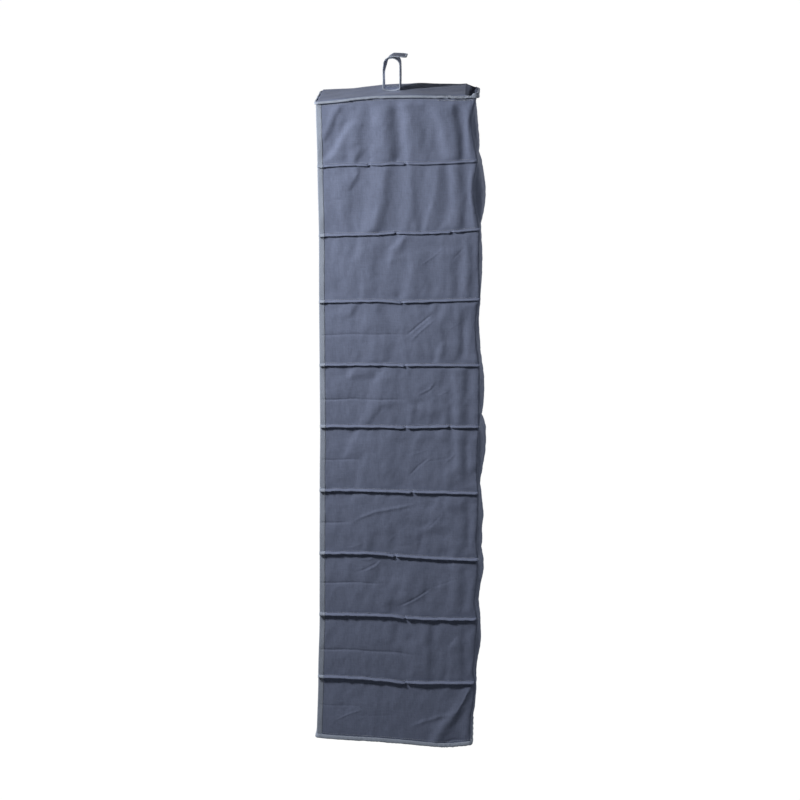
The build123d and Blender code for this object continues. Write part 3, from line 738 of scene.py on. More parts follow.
def tape_material(name, base, rib_mm=0.9):
    """Diagonally ribbed tape, a little soiled."""
    t = new_tree(name)
    place, across, up = t.cloth_axes()
    rib = t.times(t.wave(t.plus(across, up), rib_mm), t.wave(t.minus(across, up), rib_mm))
    fine = t.noise(place, scale=700.0, detail=3.0)
    soil = t.noise(place, scale=38.0, detail=3.0)
    broad = t.noise(place, scale=7.0, roughness=0.5)
    gain = t.plus(1.0, t.times(rib, 0.06))
    gain = t.vary(gain, fine, amount=0.22)
    gain = t.vary(gain, soil, amount=0.26)
    gain = t.vary(gain, broad, amount=0.14)
    return t.finish(t.shade(base, gain), rough=t.plus(0.62, t.times(soil, 0.2)),
                    height=t.plus(t.times(rib, 0.5), fine),
                    bump=0.4, bump_depth=0.0002, sheen=0.15, specular=0.3)


def fuzz_material(name, base, scale, bump):
    """The closure's pile: small cells with fine noise."""
    t = new_tree(name)
    place = t.add("ShaderNodeTexCoord").outputs["Object"]
    voronoi = t.add("ShaderNodeTexVoronoi")
    t.put(voronoi.inputs["Vector"], place)
    t.put(voronoi.inputs["Scale"], scale)
    cells = voronoi.outputs["Distance"]
    fine = t.noise(place, scale=scale * 1.7, detail=3.0, roughness=0.7)
    gain = t.plus(0.72, t.plus(t.times(cells, 0.45), t.times(fine, 0.3)))
    return t.finish(t.shade(base, gain), rough=0.9, height=t.plus(cells, t.times(fine, 0.5)),
                    bump=bump, bump_depth=0.0005, sheen=0.35, specular=0.2)


def board_material(name):
    t = new_tree(name)
    place, across, up = t.cloth_axes()
    fibre = t.streaks(across, up, scales=(60.0, 420.0), offset=0.0, detail=4.0, roughness=0.6)
    speck = t.noise(place, scale=1400.0)
    colour = t.mix_colour(fibre, (0.40, 0.29, 0.175), (0.52, 0.39, 0.25))
    return t.finish(t.shade(colour, t.plus(0.9, t.times(speck, 0.2))), rough=0.85,
                    height=t.plus(fibre, t.times(speck, 0.4)),
                    bump=0.3, bump_depth=0.0002, sheen=0.0, specular=0.2)


def thread_material(name, base):
    t = new_tree(name)
    place, across, up = t.cloth_axes()
    twist = t.wave(t.plus(across, up), pitch_mm=0.7)
    fine = t.noise(place, scale=1500.0)
    gain = t.plus(t.plus(0.92, t.times(twist, 0.08)), t.times(fine, 0.16))
    return t.finish(t.shade(base, gain), rough=0.5, height=t.plus(twist, fine),
                    bump=0.3, bump_depth=0.0001, sheen=0.1, specular=0.35)


FABRIC = (0.1432, 0.1695, 0.2560)
LINING = tuple(c * 0.96 for c in FABRIC)
STRAP = tuple(c * 0.90 for c in FABRIC)
# key: material, colour slot
MATERIALS = {
    "fabric": (woven("panel_fabric", FABRIC), "panel_fabric"),
    "lining": (woven("panel_lining", LINING, contrast=0.08), "panel_fabric"),
    "tape": (tape_material("edging_tape", (0.250, 0.288, 0.362)), "edging_tape"),
    "strap": (woven("strap_webbing", STRAP, contrast=0.12, thread_mm=1.0, slub=0.06),
              "panel_fabric"),
    "hook": (fuzz_material("closure_hooks", (0.045, 0.048, 0.06), scale=900.0, bump=0.8),
             "closure_tape"),
    "loop": (fuzz_material("closure_loops", (0.055, 0.058, 0.072), scale=520.0, bump=0.6),
             "closure_tape"),
    "board": (board_material("stiffener_board"), "stiffener_board"),
    "thread": (thread_material("seam_thread", (0.36, 0.392, 0.475)), "thread"),
    "thread_light": (thread_material("edging_thread", (0.36, 0.40, 0.47)), "thread"),
    "thread_pale": (thread_material("gathering_thread", (0.48, 0.53, 0.61)), "thread"),
}


# ------------------------------------------------------------------ mesh helpers
# A part is a tuple: points (n, 3) in mm, quads (m, 4), caps (a list of many-sided faces).
def oriented(points, quads, caps):
    """The part with its faces turned outwards."""
    a, b, c, d = (points[quads[:, i]] for i in range(4))
    volume = (np.einsum("ij,ij->i", a, np.cross(b, c)).sum()
              + np.einsum("ij,ij->i", a, np.cross(c, d)).sum())
    for cap in caps:
        for i in range(1, len(cap) - 1):
            fan = np.cross(points[cap[i]], points[cap[i + 1]])
            volume += float(np.dot(points[cap[0]], fan))
    if volume < 0:
        return points, quads[:, ::-1], [cap[::-1] for cap in caps]
    return points, quads, caps


def build(name, part, material, body, normals=None, replaces=None, squash=False):
    """A closed mesh object that rides on a body."""
    points, quads, caps = oriented(*part)
    loops = np.concatenate([quads.ravel()] + [np.asarray(cap, int) for cap in caps])
    sizes = np.array([4] * len(quads) + [len(cap) for cap in caps])
    starts = np.concatenate([[0], np.cumsum(sizes)[:-1]])
    mesh = bpy.data.meshes.new(name)
    mesh.vertices.add(len(points))
    mesh.vertices.foreach_set("co", (points / 1000.0).astype(np.float32).ravel())
    mesh.loops.add(len(loops))
    mesh.loops.foreach_set("vertex_index", loops.astype(np.int32))
    mesh.polygons.add(len(sizes))
    mesh.polygons.foreach_set("loop_start", starts.astype(np.int32))
    mesh.polygons.foreach_set("use_smooth", np.ones(len(sizes), bool))
    mesh.update(calc_edges=True)
    mesh.validate()
    if normals is not None:
        mesh.normals_split_custom_set_from_vertices([tuple(n) for n in normals])
    look, slot = MATERIALS[material]
    mesh.materials.append(look)
    made = bpy.data.objects.new(name, mesh)
    bpy.context.scene.collection.objects.link(made)
    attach(made, body)
    if squash:
        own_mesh(made)
    if replaces:
        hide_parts(replaces)


def grid_quads(rows, columns, wrap=False):
    i, j = np.meshgrid(np.arange(rows - 1), np.arange(columns if wrap else columns - 1),
                       indexing="ij")
    after = (j + 1) % columns
    corners = [i * columns + j, i * columns + after,
               (i + 1) * columns + after, (i + 1) * columns + j]
    return np.stack(corners, -1).reshape(-1, 4)


def shell(name, outer, inner, material, body, normals=None, **options):
    """A thin closed sheet from its outer and inner grids, joined along the four borders."""
    rows, columns = outer.shape[:2]
    count = rows * columns
    quads = grid_quads(rows, columns)
    top = np.arange(columns)
    bottom = top + (rows - 1) * columns
    first = np.arange(rows) * columns
    last = first + columns - 1
    rims = []
    for border in (top, last, bottom[::-1], first[::-1]):
        a, b = border[:-1], border[1:]
        rims.append(np.stack([b, a, a + count, b + count], -1))
    points = np.concatenate([outer.reshape(-1, 3), inner.reshape(-1, 3)])
    if normals is not None:
        normals = np.concatenate([normals.reshape(-1, 3), -normals.reshape(-1, 3)])
    faces = np.concatenate([quads, (quads + count)[:, ::-1]] + rims)
    build(name, (points, faces, []), material, body, normals, **options)


def tube(sections, closed=False):
    """A part from sections (stations, points, 3). An open one gets capped ends."""
    count, around = sections.shape[:2]
    quads = grid_quads(count, around, wrap=True)
    last = (count - 1) * around
    caps = []
    if closed:
        j = np.arange(around)
        after = (j + 1) % around
        quads = np.concatenate([quads, np.stack([last + j, last + after, after, j], -1)])
    else:
        caps = [list(range(around))[::-1], [last + i for i in range(around)]]
    return oriented(sections.reshape(-1, 3), quads, caps)


def merge(parts):
    all_points, all_quads, all_caps, base = [], [], [], 0
    for points, quads, caps in parts:
        all_points.append(points)
        all_quads.append(quads + base)
        all_caps += [[i + base for i in cap] for cap in caps]
        base += len(points)
    return np.concatenate(all_points), np.concatenate(all_quads), all_caps


STITCH_ALONG = np.array([-0.5, -0.42, -0.2, 0.2, 0.42, 0.5])       # shares of the length
STITCH_THICK = np.array([0.35, 0.85, 1.0, 1.0, 0.85, 0.35])        # shares of the radius
STITCH_LIFT = np.array([-0.9, -0.25, 0.25, 0.25, -0.25, -0.9]) * 1.2
STITCH_SIDES = 6


def stitches(name, runs, material, body, length=2.5, radius=0.2, **options):
    """Short threads with a lifted middle. runs: (points, directions along, directions up)."""
    points, along, up = (np.concatenate([np.asarray(run[i], float).reshape(-1, 3) for run in runs])
                         for i in range(3))
    along = along / np.linalg.norm(along, axis=1, keepdims=True)
    up = up - along * np.einsum("ij,ij->i", up, along)[:, None]
    up /= np.linalg.norm(up, axis=1, keepdims=True)
    beside = np.cross(along, up)
    rings, sides, count = len(STITCH_ALONG), STITCH_SIDES, len(points)
    shape = np.empty((count, rings, sides, 3))
    for r in range(rings):
        thick = STITCH_THICK[r] * radius
        for j in range(sides):
            angle = j * 2 * math.pi / sides
            shape[:, r, j] = (points + along * (STITCH_ALONG[r] * length)
                              + up * (STITCH_LIFT[r] * radius + math.sin(angle) * thick)
                              + beside * (math.cos(angle) * thick))
    bases = np.arange(count) * rings * sides
    quads = (grid_quads(rings, sides, wrap=True)[None] + bases[:, None, None]).reshape(-1, 4)
    caps = []
    for base in bases.tolist():
        caps.append([base + j for j in range(sides)][::-1])
        caps.append([base + (rings - 1) * sides + j for j in range(sides)])
    build(name, (shape.reshape(-1, 3), quads, caps), material, body, **options)


def leaf_section(path, half_thick):
    """A closed section half_thick to each side of a centre line."""
    path = np.asarray(path, float)
    tangent = np.gradient(path, axis=0)
    tangent /= np.linalg.norm(tangent, axis=1, keepdims=True)
    normal = np.stack([tangent[:, 1], -tangent[:, 0]], 1)
    return np.concatenate([path + normal * half_thick, (path - normal * half_thick)[::-1]])


OUTLINE_STEP = 1.6


def panel_outline():
    """Points and outward normals round a panel, a closed loop, counter-clockwise from above."""
    back_x, front_x = HALF_W - CORNER, HALF_W - FRONT_CORNER
    back_y, front_y = BACK - CORNER, FRONT + FRONT_CORNER
    # per corner: centre x, y, radius
    corners = [(back_x, back_y, CORNER), (-back_x, back_y, CORNER),
               (-front_x, front_y, FRONT_CORNER), (front_x, front_y, FRONT_CORNER)]
    points, normals = [], []
    x0, y0 = HALF_W, front_y
    for quarter, (x, y, radius) in enumerate(corners):
        start = quarter * math.pi / 2
        normal = math.cos(start), math.sin(start)
        x1, y1 = x + radius * normal[0], y + radius * normal[1]
        count = max(2, int(round(math.hypot(x1 - x0, y1 - y0) / OUTLINE_STEP)))
        for i in range(count):
            points.append((x0 + (x1 - x0) * i / count, y0 + (y1 - y0) * i / count))
            normals.append(normal)
        count = max(5, int(round(math.pi / 2 * radius / 1.2)))
        for i in range(count):
            angle = start + math.pi / 2 * i / count
            points.append((x + radius * math.cos(angle), y + radius * math.sin(angle)))
            normals.append((math.cos(angle), math.sin(angle)))
        x0 = x + radius * math.cos(start + math.pi / 2)
        y0 = y + radius * math.sin(start + math.pi / 2)
    return np.array(points), np.array(normals)


def panel_grid(inset, step, counts=None):
    """x and y grids that fill the panel's outline, and each point's distance from it."""
    half = HALF_W - inset
    y0, y1 = FRONT + inset, BACK - inset
    back_r, front_r = max(CORNER - inset, 0.6), max(FRONT_CORNER - inset, 0.6)
    rows, columns = counts or (int(round((y1 - y0) / step)), int(round(2 * half / step)))
    edge = np.array([0, .35, 1.0, 1.9, 3.0])       # finer lines near the border

    def lines(low, high, count):
        return np.concatenate([low + edge, np.linspace(low + 4.2, high - 4.2, count),
                               (high - edge)[::-1]])
    grid_x, grid_y = np.meshgrid(lines(-half, half, columns) / half, lines(y0, y1, rows))
    into_back = np.clip(back_r - (y1 - grid_y), 0, back_r)
    into_front = np.clip(front_r - (grid_y - y0), 0, front_r)
    cut = np.maximum(back_r - np.sqrt(np.maximum(back_r ** 2 - into_back ** 2, 0)),
                     front_r - np.sqrt(np.maximum(front_r ** 2 - into_front ** 2, 0)))
    x = grid_x * (half - cut)
    inside = np.minimum(np.minimum((half - cut) - np.abs(x), grid_y - y0), y1 - grid_y)
    return x, grid_y, np.clip(inside, 0, None)


def field_at(field, x, y, half_x, margin=0.0):
    """A noise field spread over a panel, half_x to each side and margin past front and back."""
    rows, columns = field.shape
    column = np.clip((x + half_x) / (2 * half_x) * (columns - 1), 0, columns - 1.001)
    row = np.clip((y - FRONT + margin) / (DEPTH + 2 * margin) * (rows - 1), 0, rows - 1.001)
    i, j = np.floor(row).astype(int), np.floor(column).astype(int)
    return bilinear(field, i, j, row - i, column - j)


# ------------------------------------------------------------------ sleeve
for k in range(10):
    part_points, part_normals = SURFACE[rows_of(k)], NORMALS[rows_of(k)]
    shell("sleeve_compartment_%02d" % (k + 1), part_points, part_points - CLOTH * part_normals,
          "fabric", "top_panel", normals=part_normals, squash=True,
          replaces="sleeve" if k == 0 else None)

# ------------------------------------------------------------------ tape on the front edges
TAPE_W = 9.4
# centre line of the folded tape: run from the front edge, height over the cloth, mm
FRONT_TAPE = [(TAPE_W, -.02), (TAPE_W - .5, .10), (TAPE_W - 1.4, .24), (6.4, .34), (4.0, .42),
              (2.0, .42), (0.5, .40), (-0.35, .22), (-0.72, -.4), (-0.35, -1.02), (0.5, -1.2),
              (2.0, -1.22), (4.0, -1.22), (6.4, -1.2), (TAPE_W, -1.18)]


def front_tape(side, label, seed):
    name = "front_tape_" + label
    rows = ROW_Z[(ROW_Z < TOP - 2.0) & (ROW_Z > BOTTOM + 2.0)]
    wobble = noise_line(len(rows), STEP, 40, seed)
    section = leaf_section(FRONT_TAPE, 0.24)
    sections = np.empty((len(rows), len(section), 3))
    for m, (run, height) in enumerate(section):
        inner = run > 3                  # the edge on the cloth wavers
        point, normal, tangent = cloth_at(np.clip(run + 0.12 * wobble * inner, 0, None),
                                          rows, side)
        offset = height + 0.06 * np.roll(wobble, 7) * inner
        sections[:, m] = point + normal * offset[:, None] + tangent * min(run, 0.0)
    build(name, tube(sections), "tape", "top_panel", squash=True,
          replaces="side_binding_" + label)
    z = np.arange(TOP - 10, BOTTOM + 10, -3.3)
    z = z[level_gap(z) > 4.5]
    point, normal, _ = cloth_at(TAPE_W - 1.5, z, side)
    below = cloth_at(TAPE_W - 1.5, z - 1.0, side)[0]
    stitches(name + "_thread", [(point + normal * 0.78, below - point, normal)], "thread_light",
             "top_panel", radius=0.19, squash=True)


front_tape(1, "right", 3)
front_tape(-1, "left", 4)

# ------------------------------------------------------------------ seams at the shelves
# Section of the tuck of side cloth: out from the cloth, height over the level, mm.
TUCK = np.array([(-0.4, 2.2), (0.5, 2.1), (1.5, 1.8), (2.5, 1.25), (3.3, 0.50), (3.95, -0.35),
                 (4.3, -1.2), (4.2, -1.8), (3.7, -1.9), (3.0, -1.4), (2.1, -0.7), (1.1, -0.3),
                 (-0.4, -0.2)])
TUCK_OUT = [1.0, 1.0, 1.0, 1.0, 1.0, 1.12, 1.2, 1.3, 1.4, 1.45]    # factor per level
# Kinks on the right side: share of the depth, drop in mm, share over which it fades forwards.
KINKS = {1: [(.315, 2.6, .05), (.545, 1.5, .03)], 2: [(.475, -1.6, .05), (.82, 1.0, .03)],
         3: [(.51, 1.9, .03)], 4: [(.53, 1.6, .04)], 5: [(.53, 1.9, .035), (.81, -1.2, .03)],
         6: [(.575, 1.2, .05)], 7: [(.47, 1.5, .04)], 8: [(.535, 2.6, .035)],
         9: [(.55, 2.2, .05)]}
# The right seams run past the back corner by this much, mm, and droop there by this factor.
FREE_END = [0, -1.5, 0.5, 0.0, 0.5, -1.5, -1.5, 0.5, -3.0, -3.0]
END_DROP = [0, 0.03, 0.03, 0.03, 0.05, 0.03, 0.03, 0.20, 0.0, 0.0]
# The tape ends of a seam: run from the front edge, and share of the tuck's size there.
TAPE_END_RUN = np.array([-1.3, -1.15, -0.7, 0.0, 1.5, 3.0, 4.5, 6.0, 7.5, 8.8, 9.5, 9.7])
TAPE_END_SIZE = np.array([.45, .72, .9, 1, 1, 1, 1, 1, 1, 1, .96, .8])
SEAM_THREAD = dict(length=2.5, radius=0.34, squash=True)


def kink_line(k, side, run):
    """Rise of a seam and the share of its thickness left at its kinks."""
    share = run / DEPTH
    rise, thin = np.zeros_like(run), np.ones_like(run)
    for at, drop, reach in KINKS[k] if side > 0 else [(0.25 + 0.055 * ((k * 7) % 10), 1.6, .04)]:
        rise -= np.where(share <= at, drop * np.exp((share - at) / reach),
                         drop * 0.12 * np.exp(-(share - at) / 0.02))
        thin *= 1 - 0.72 * np.exp(-(((share - at - 0.004) * DEPTH) / 2.1) ** 2)
    return rise, thin


def tuck_sections(k, side, run, grow, size):
    """Sections of a seam's tuck; grow makes room for a layer over it."""
    seed = 200 + 2 * k + (side > 0)
    count = int(DEPTH / 1.5) + 40
    slow = noise_line(count, 1.5, 26, seed)
    quick = noise_line(count, 1.5, 9, seed + 100)

    def along(values):
        return np.interp(run, np.arange(count) * 1.5 - 6, values)
    rise, thin = kink_line(k, side, run)
    past = np.clip(run - SIDE_RUN, 0, None)
    rise = rise + 0.8 + 0.20 * along(slow) + 0.04 * along(quick) - END_DROP[k] * past ** 1.3
    uneven = 1 + 0.05 * along(np.roll(slow, 40)) + 0.02 * along(np.roll(quick, 17))
    out = (TUCK_OUT[k] * uneven * thin * size)[:, None]
    point = cloth_at(np.clip(run, 0, SIDE_RUN), LEVELS[k], side)[0]
    reach, height = TUCK.T
    x = point[:, :1] + side * (reach * out + grow * (reach > 0))
    y = (point[:, 1] + np.minimum(run, 0.0) + past)[:, None]
    z = ((point[:, 2] + rise)[:, None] + height * (0.55 + 0.45 * np.minimum(out, 1.1))
         + np.sign(height + 0.4) * grow * 0.7)
    return np.stack(np.broadcast_arrays(x, y, z), -1)


def shelf_seam(k):
    body = "shelf_%02d" % k
    tucks, tape_ends, threads = [], [], []
    for side in (1, -1):
        reach = SIDE_RUN + CORNER + (FREE_END[k] if side > 0 else -4.5)
        run = np.append(np.arange(8.6, reach - 0.8, 1.5), reach)
        size = 1 - 0.45 * smoothstep(reach - 5, reach, run)
        tucks.append(tube(tuck_sections(k, side, run, 0.0, size)))
        tape_ends.append(tube(tuck_sections(k, side, TAPE_END_RUN, 0.62, TAPE_END_SIZE)))

        def thread_line(run):
            return cloth_at(run, LEVELS[k] + 4.0 + kink_line(k, side, run)[0], side)
        run = np.arange(12.0, SIDE_RUN - 4, 3.9)
        point, normal, _ = thread_line(run)
        threads.append((point + normal * 0.14, thread_line(run + 1.0)[0] - point, normal))
    build(body + "_seam_fold", merge(tucks), "fabric", body, replaces=body + "_side_seams")
    build(body + "_seam_tape_ends", merge(tape_ends), "tape", body)
    start = SIDE_RUN + ARC_RUN * 0.6
    point, normal, tangent = cloth_at(np.arange(start, TOTAL_RUN - start, 3.3), LEVELS[k])
    threads.append((point + normal * 0.12, tangent, normal))
    stitches("seam_%02d_thread" % k, threads, "thread", "top_panel", **SEAM_THREAD)


for k in range(1, 10):
    shelf_seam(k)

rim_threads = []
for z in (TOP - 8.9, BOTTOM + 10.6):
    point, normal, tangent = cloth_at(np.arange(11.5, TOTAL_RUN - 11.5, 3.9), z)
    rim_threads.append((point + normal * 0.10, tangent, normal))
stitches("rim_thread", rim_threads, "thread", "top_panel", **SEAM_THREAD)

# ------------------------------------------------------------------ shelves
SHELF_HALF_THICK = 0.95                  # away from the sides, where the CAD's height holds
NOSE = np.linspace(-math.pi / 2, -1.5 * math.pi, 9)    # angles round a shelf's front edge


class Shelf:
    def __init__(self, k):
        self.k = k
        self.body = "shelf_%02d" % k
        low, high = box_mm(self.body + "_cover")
        self.half, self.front, self.back = float(high[0]), float(low[1]), float(high[1])
        self.thick = float(high[2] - low[2]) / 2       # half the height at the sides
        self.sag = noise_grid((60, 40), (5, 4), [(60, 80, 0.34)], 300 + k)
        self.crumple = noise_grid((60, 40), (5, 4), [(18, 26, 0.10)], 340 + k)

    def place(self, x, y, height):
        z = LEVELS[self.k] + height + field_at(self.sag, x, y, 75)
        return drape(np.stack(np.broadcast_arrays(x, y, z), -1))

    def at_sides(self, x):
        return 1 - smoothstep(self.half - 5.5, self.half, np.abs(x))

    def cloth_ring(self, x, inset):
        """The cover from the back under the board, round the front edge and back on top."""
        flat_y = np.linspace(self.back, self.front + self.thick + 1.0, 66)
        nose_y = self.front + self.thick + (self.thick - inset) * np.cos(NOSE)
        y = np.concatenate([flat_y, nose_y, flat_y[::-1]])[:, None]
        flat = np.ones(len(flat_y))
        lift = np.concatenate([-flat, np.sin(NOSE), flat])[:, None]
        pinch = self.at_sides(x)
        z = (SHELF_HALF_THICK + (self.thick - SHELF_HALF_THICK) * pinch - inset) * lift
        x, y = np.broadcast_arrays(x, y)
        z = z + np.sign(z) * field_at(self.crumple, x, y, 75) * pinch * 0.6
        return self.place(x, y, z)

    def cloth(self):
        edge = np.array([0, 1.2, 2.6, 4.2, 6.0])
        x = np.concatenate([-self.half + edge, np.linspace(-self.half + 9, self.half - 9, 33),
                            (self.half - edge)[::-1]])
        shell(self.body + "_cloth", self.cloth_ring(x, 0.0), self.cloth_ring(x, CLOTH), "lining",
              self.body, replaces=self.body + "_cover")

    def board(self):
        half, half_thick = self.half - 5.8, 1.0
        x, y = np.meshgrid(np.linspace(-half, half, 30),
                           np.linspace(self.front + 3.6, self.back - 3.0, 60))
        shell(self.body + "_stiffener", self.place(x, y, half_thick),
              self.place(x, y, -half_thick), "board", self.body, replaces=self.body + "_board")

    def edge_tape(self):
        """Tape folded over the front edge, with a thread on both faces."""
        tape_back = float(box_mm(self.body + "_front_binding")[1][1])
        height = self.thick + 0.42
        x = np.linspace(-self.half + 0.2, self.half - 0.2, 98)
        flat = [tape_back, tape_back - 2.0, tape_back - 4.5]
        nose_y = self.front + self.thick - 0.1 + (self.thick + .36) * np.cos(NOSE)
        path = ([(y, -height) for y in flat] + list(zip(nose_y, height * np.sin(NOSE)))
                + [(y, height) for y in flat[::-1]])
        waver = noise_line(len(x), 1.5, 30, 400 + self.k)
        squeeze = (1.35 + (height - 1.35) * self.at_sides(x)) / height
        section = leaf_section(path, 0.27)
        sections = np.empty((len(x), len(section), 3))
        for m, (y, z) in enumerate(section):
            sections[:, m] = self.place(x, y + 0.3 * waver * (y > tape_back - 2.5), z * squeeze)
        build(self.body + "_edge_tape", tube(sections), "tape", self.body,
              replaces=self.body + "_front_binding")
        x = np.arange(-self.half + 8, self.half - 8, 3.3)
        threads = [(self.place(x, tape_back - 1.5, face * (self.thick + 0.82)),
                    np.tile([1.0, 0, 0], (len(x), 1)), np.tile([0, 0, face], (len(x), 1)))
                   for face in (1.0, -1.0)]
        stitches(self.body + "_edge_thread", threads, "thread_light", self.body, radius=0.19)


for k in range(1, 10):
    shelf = Shelf(k)
    shelf.cloth()
    shelf.board()
    shelf.edge_tape()

# ------------------------------------------------------------------ top panel
PATCH_LOW, PATCH_HIGH = box_mm("strap_base")
PATCH_MID = float(PATCH_LOW[1] + PATCH_HIGH[1]) / 2
PATCH_HALF = float(PATCH_HIGH[1] - PATCH_LOW[1]) / 2
DENTS = noise_grid((80, 50), (4, 3.2), [(60, 80, 0.38), (24, 30, 0.06)], 77)
TOP_ROUND = 2.6                          # radius where the top cloth turns down


def back_fall(x, y):
    """The top's cloth falls off short of the back edge."""
    edge = 1 - 0.8 * smoothstep(BACK - 9.0, BACK - 1.5, y)
    return (-6.2 * smoothstep(BACK - 21.0, BACK - 12.0, y) * edge
            * (0.62 + 0.38 * smoothstep(-60.0, 10.0, x))
            * (1 - 0.55 * smoothstep(HALF_W - 9.0, HALF_W - 1.5, x)))


def top_dent(x, y):
    """Unevenness of the top: dents, the pull of the strap's patch, and the fall at the back."""
    dents = field_at(DENTS, x, y, 80, margin=5)
    near = np.exp(-(np.abs(x) / 30.0) ** 4)
    share = (y - PATCH_MID) / PATCH_HALF
    pull = near * (-1.0 * np.exp(-(share / 0.75) ** 2)
                   + 0.9 * np.exp(-((np.abs(share) - 1.15) / 0.45) ** 2))
    return dents * (1 - 0.8 * near * np.exp(-(share / 1.4) ** 4)) + pull + back_fall(x, y)


def rounding(inside, radius):
    """Drop of a rounded rim at a distance inside the outline."""
    arc = radius - np.sqrt(np.maximum(radius * radius - (radius - inside) ** 2, 0))
    return np.where(inside < radius, arc, 0.0)


def plate(name, z_high, z_low, material, body, inset, step, dent=None, round_top=0.0, seed=None,
          replaces=None):
    """A flat layer that fills the panel's outline."""
    x, y, inside = panel_grid(inset, step)
    uneven = np.zeros_like(x)
    if dent is not None:
        uneven += dent(x, y)
    if seed:
        uneven += (noise_grid(x.shape, (step, step), [(16, 16, 0.10)], seed)
                   * smoothstep(0, 8, inside))
    outer = drape(np.stack([x, y, uneven + z_high - rounding(inside, round_top)], -1))
    inner = drape(np.stack([x, y, uneven + z_low], -1))
    shell(name, outer, inner, material, body, replaces=replaces)


def top_cloth():
    """The upper cover, turned down over the board's edge."""
    step = 2.4
    x, y, inside = panel_grid(0.0, step)
    crumple = noise_grid(x.shape, (step, step), [(16, 16, 0.05), (6, 6, 0.015)], 78)
    uneven = top_dent(x, y) + crumple * smoothstep(0, 8, inside)
    outer = np.stack([x, y, TOP + uneven - rounding(inside, TOP_ROUND)], -1)
    # the same numbers of rows and columns, less panel_grid's five border lines on each side
    x, y, inside = panel_grid(CLOTH * 0.9, step, (x.shape[0] - 10, x.shape[1] - 10))
    inner = np.stack([x, y, TOP - CLOTH + uneven - rounding(inside, TOP_ROUND)], -1)
    shell("top_cloth", drape(outer), drape(inner), "fabric", "top_panel",
          replaces="top_cover_upper")


top_cloth()
plate("top_stiffener", TOP - CLOTH - 0.25, TOP_LINING[1] + 0.15, "board", "top_panel",
      inset=3.4, step=5.0, dent=top_dent, round_top=0.8, replaces="top_board")
plate("top_lining", TOP_LINING[1], TOP_LINING[0], "lining", "top_panel",
      inset=1.1, step=3.6, dent=top_dent, seed=81, replaces="top_cover_lower")


def edge_band(name, profile, base_z, body, seed, rough, lift=None, replaces=None):
    """Tape round a panel. profile: out from the outline, height over base_z, mm."""
    points, normals = panel_outline()
    count = len(points)
    # fades the noise out at the loop's join
    fade = smoothstep(0, 24, np.arange(count)) * (
        1 - smoothstep(count - 24, count, np.arange(count)))
    slow, quick, rapid = (noise_line(count, OUTLINE_STEP, wave, seed + i) * fade
                          for i, wave in enumerate((34, 9, 3.6)))
    gain = rough(points)
    sections = np.empty((count, len(profile), 3))
    for m, (out, height) in enumerate(profile):
        tip = min(1.0, out / 3.0)
        outs = out + tip * (0.22 * slow + 0.10 * quick
                            + gain * (0.5 * np.roll(quick, 5) + 0.5 * np.roll(rapid, 3 * m)))
        heights = height + tip * (
            0.20 * np.roll(slow, 31) + 0.08 * np.roll(quick, 11)
            + gain * (0.55 * np.roll(quick, 23) + 0.6 * np.roll(rapid, 7 + 2 * m)))
        if lift is not None:
            heights = heights + lift(points, height)
        sections[:, m, :2] = points + normals * outs[:, None]
        sections[:, m, 2] = base_z + heights
    build(name, tube(drape(sections), closed=True), "tape", body, replaces=replaces)


def top_rough(points):
    """The top's tape is crumpled towards the back of the right side."""
    x, y = points.T
    gain = np.where((x > HALF_W - 1) & (y > 85), smoothstep(85, 103, y), 0.0)
    return gain * (1 - smoothstep(143, 153, y)) * 0.62


def top_lift(points, height):
    """The tape stands up at the right back corner, and sinks with the cloth at the left side."""
    x, y = points.T
    ear = smoothstep(BACK - 9.5, BACK - 7.0, y) * smoothstep(52, 60, x)
    stand = 4.6 if height > -2.0 else (2.6 if height > -3.2 else -0.4)
    sink = back_fall(x, y) * (1 - smoothstep(BACK - 12, BACK - 7, y)) - 1.3
    return ear * stand + sink * (1 - smoothstep(-72, -60, x)) * (1.0 if height > -3.2 else 0.3)


def bottom_rough(points):
    x, y = points.T
    return 0.12 + 0.25 * smoothstep(70, 110, y) * (x > HALF_W - 1)


TOP_BAND = [(0.05, -1.6), (0.9, -0.85), (2.0, -0.75), (3.1, -1.2), (4.0, -2.1), (4.45, -3.3),
            (4.3, -4.5), (3.7, -5.3), (2.8, -5.5), (2.0, -5.0), (1.0, -5.3), (0.05, -5.9)]
edge_band("top_edge_tape", TOP_BAND, TOP, "top_panel", seed=501, rough=top_rough, lift=top_lift,
          replaces="top_binding")

# thread where the tape is gathered near the back corner: name, out, height, z of the up
# direction, whether it folds with the sleeve
GATHERING = [("top_edge_thread_upper", 3.7, -1.25, 0.5, False),
             ("top_edge_thread_lower", 0.4, -9.0, -0.3, True)]
rng = np.random.default_rng(907)
for name, out, height, up_z, squash in GATHERING:
    points, along = [], []
    y = 84.0
    while y < BACK - 12:
        y += float(rng.uniform(2.8, 5.4))
        points.append((HALF_W + out + float(rng.uniform(0.3, 0.8)), y,
                       TOP + height + float(rng.normal(0, 0.4))))
        along.append((float(rng.uniform(-0.15, 0.15)), 1.0, float(rng.normal(0, 0.30))))
    up = [(1.0, 0.0, up_z)] * len(points)
    stitches(name, [(drape(points), along, up)], "thread_pale", "top_panel",
             length=3.1, radius=0.42, squash=squash)

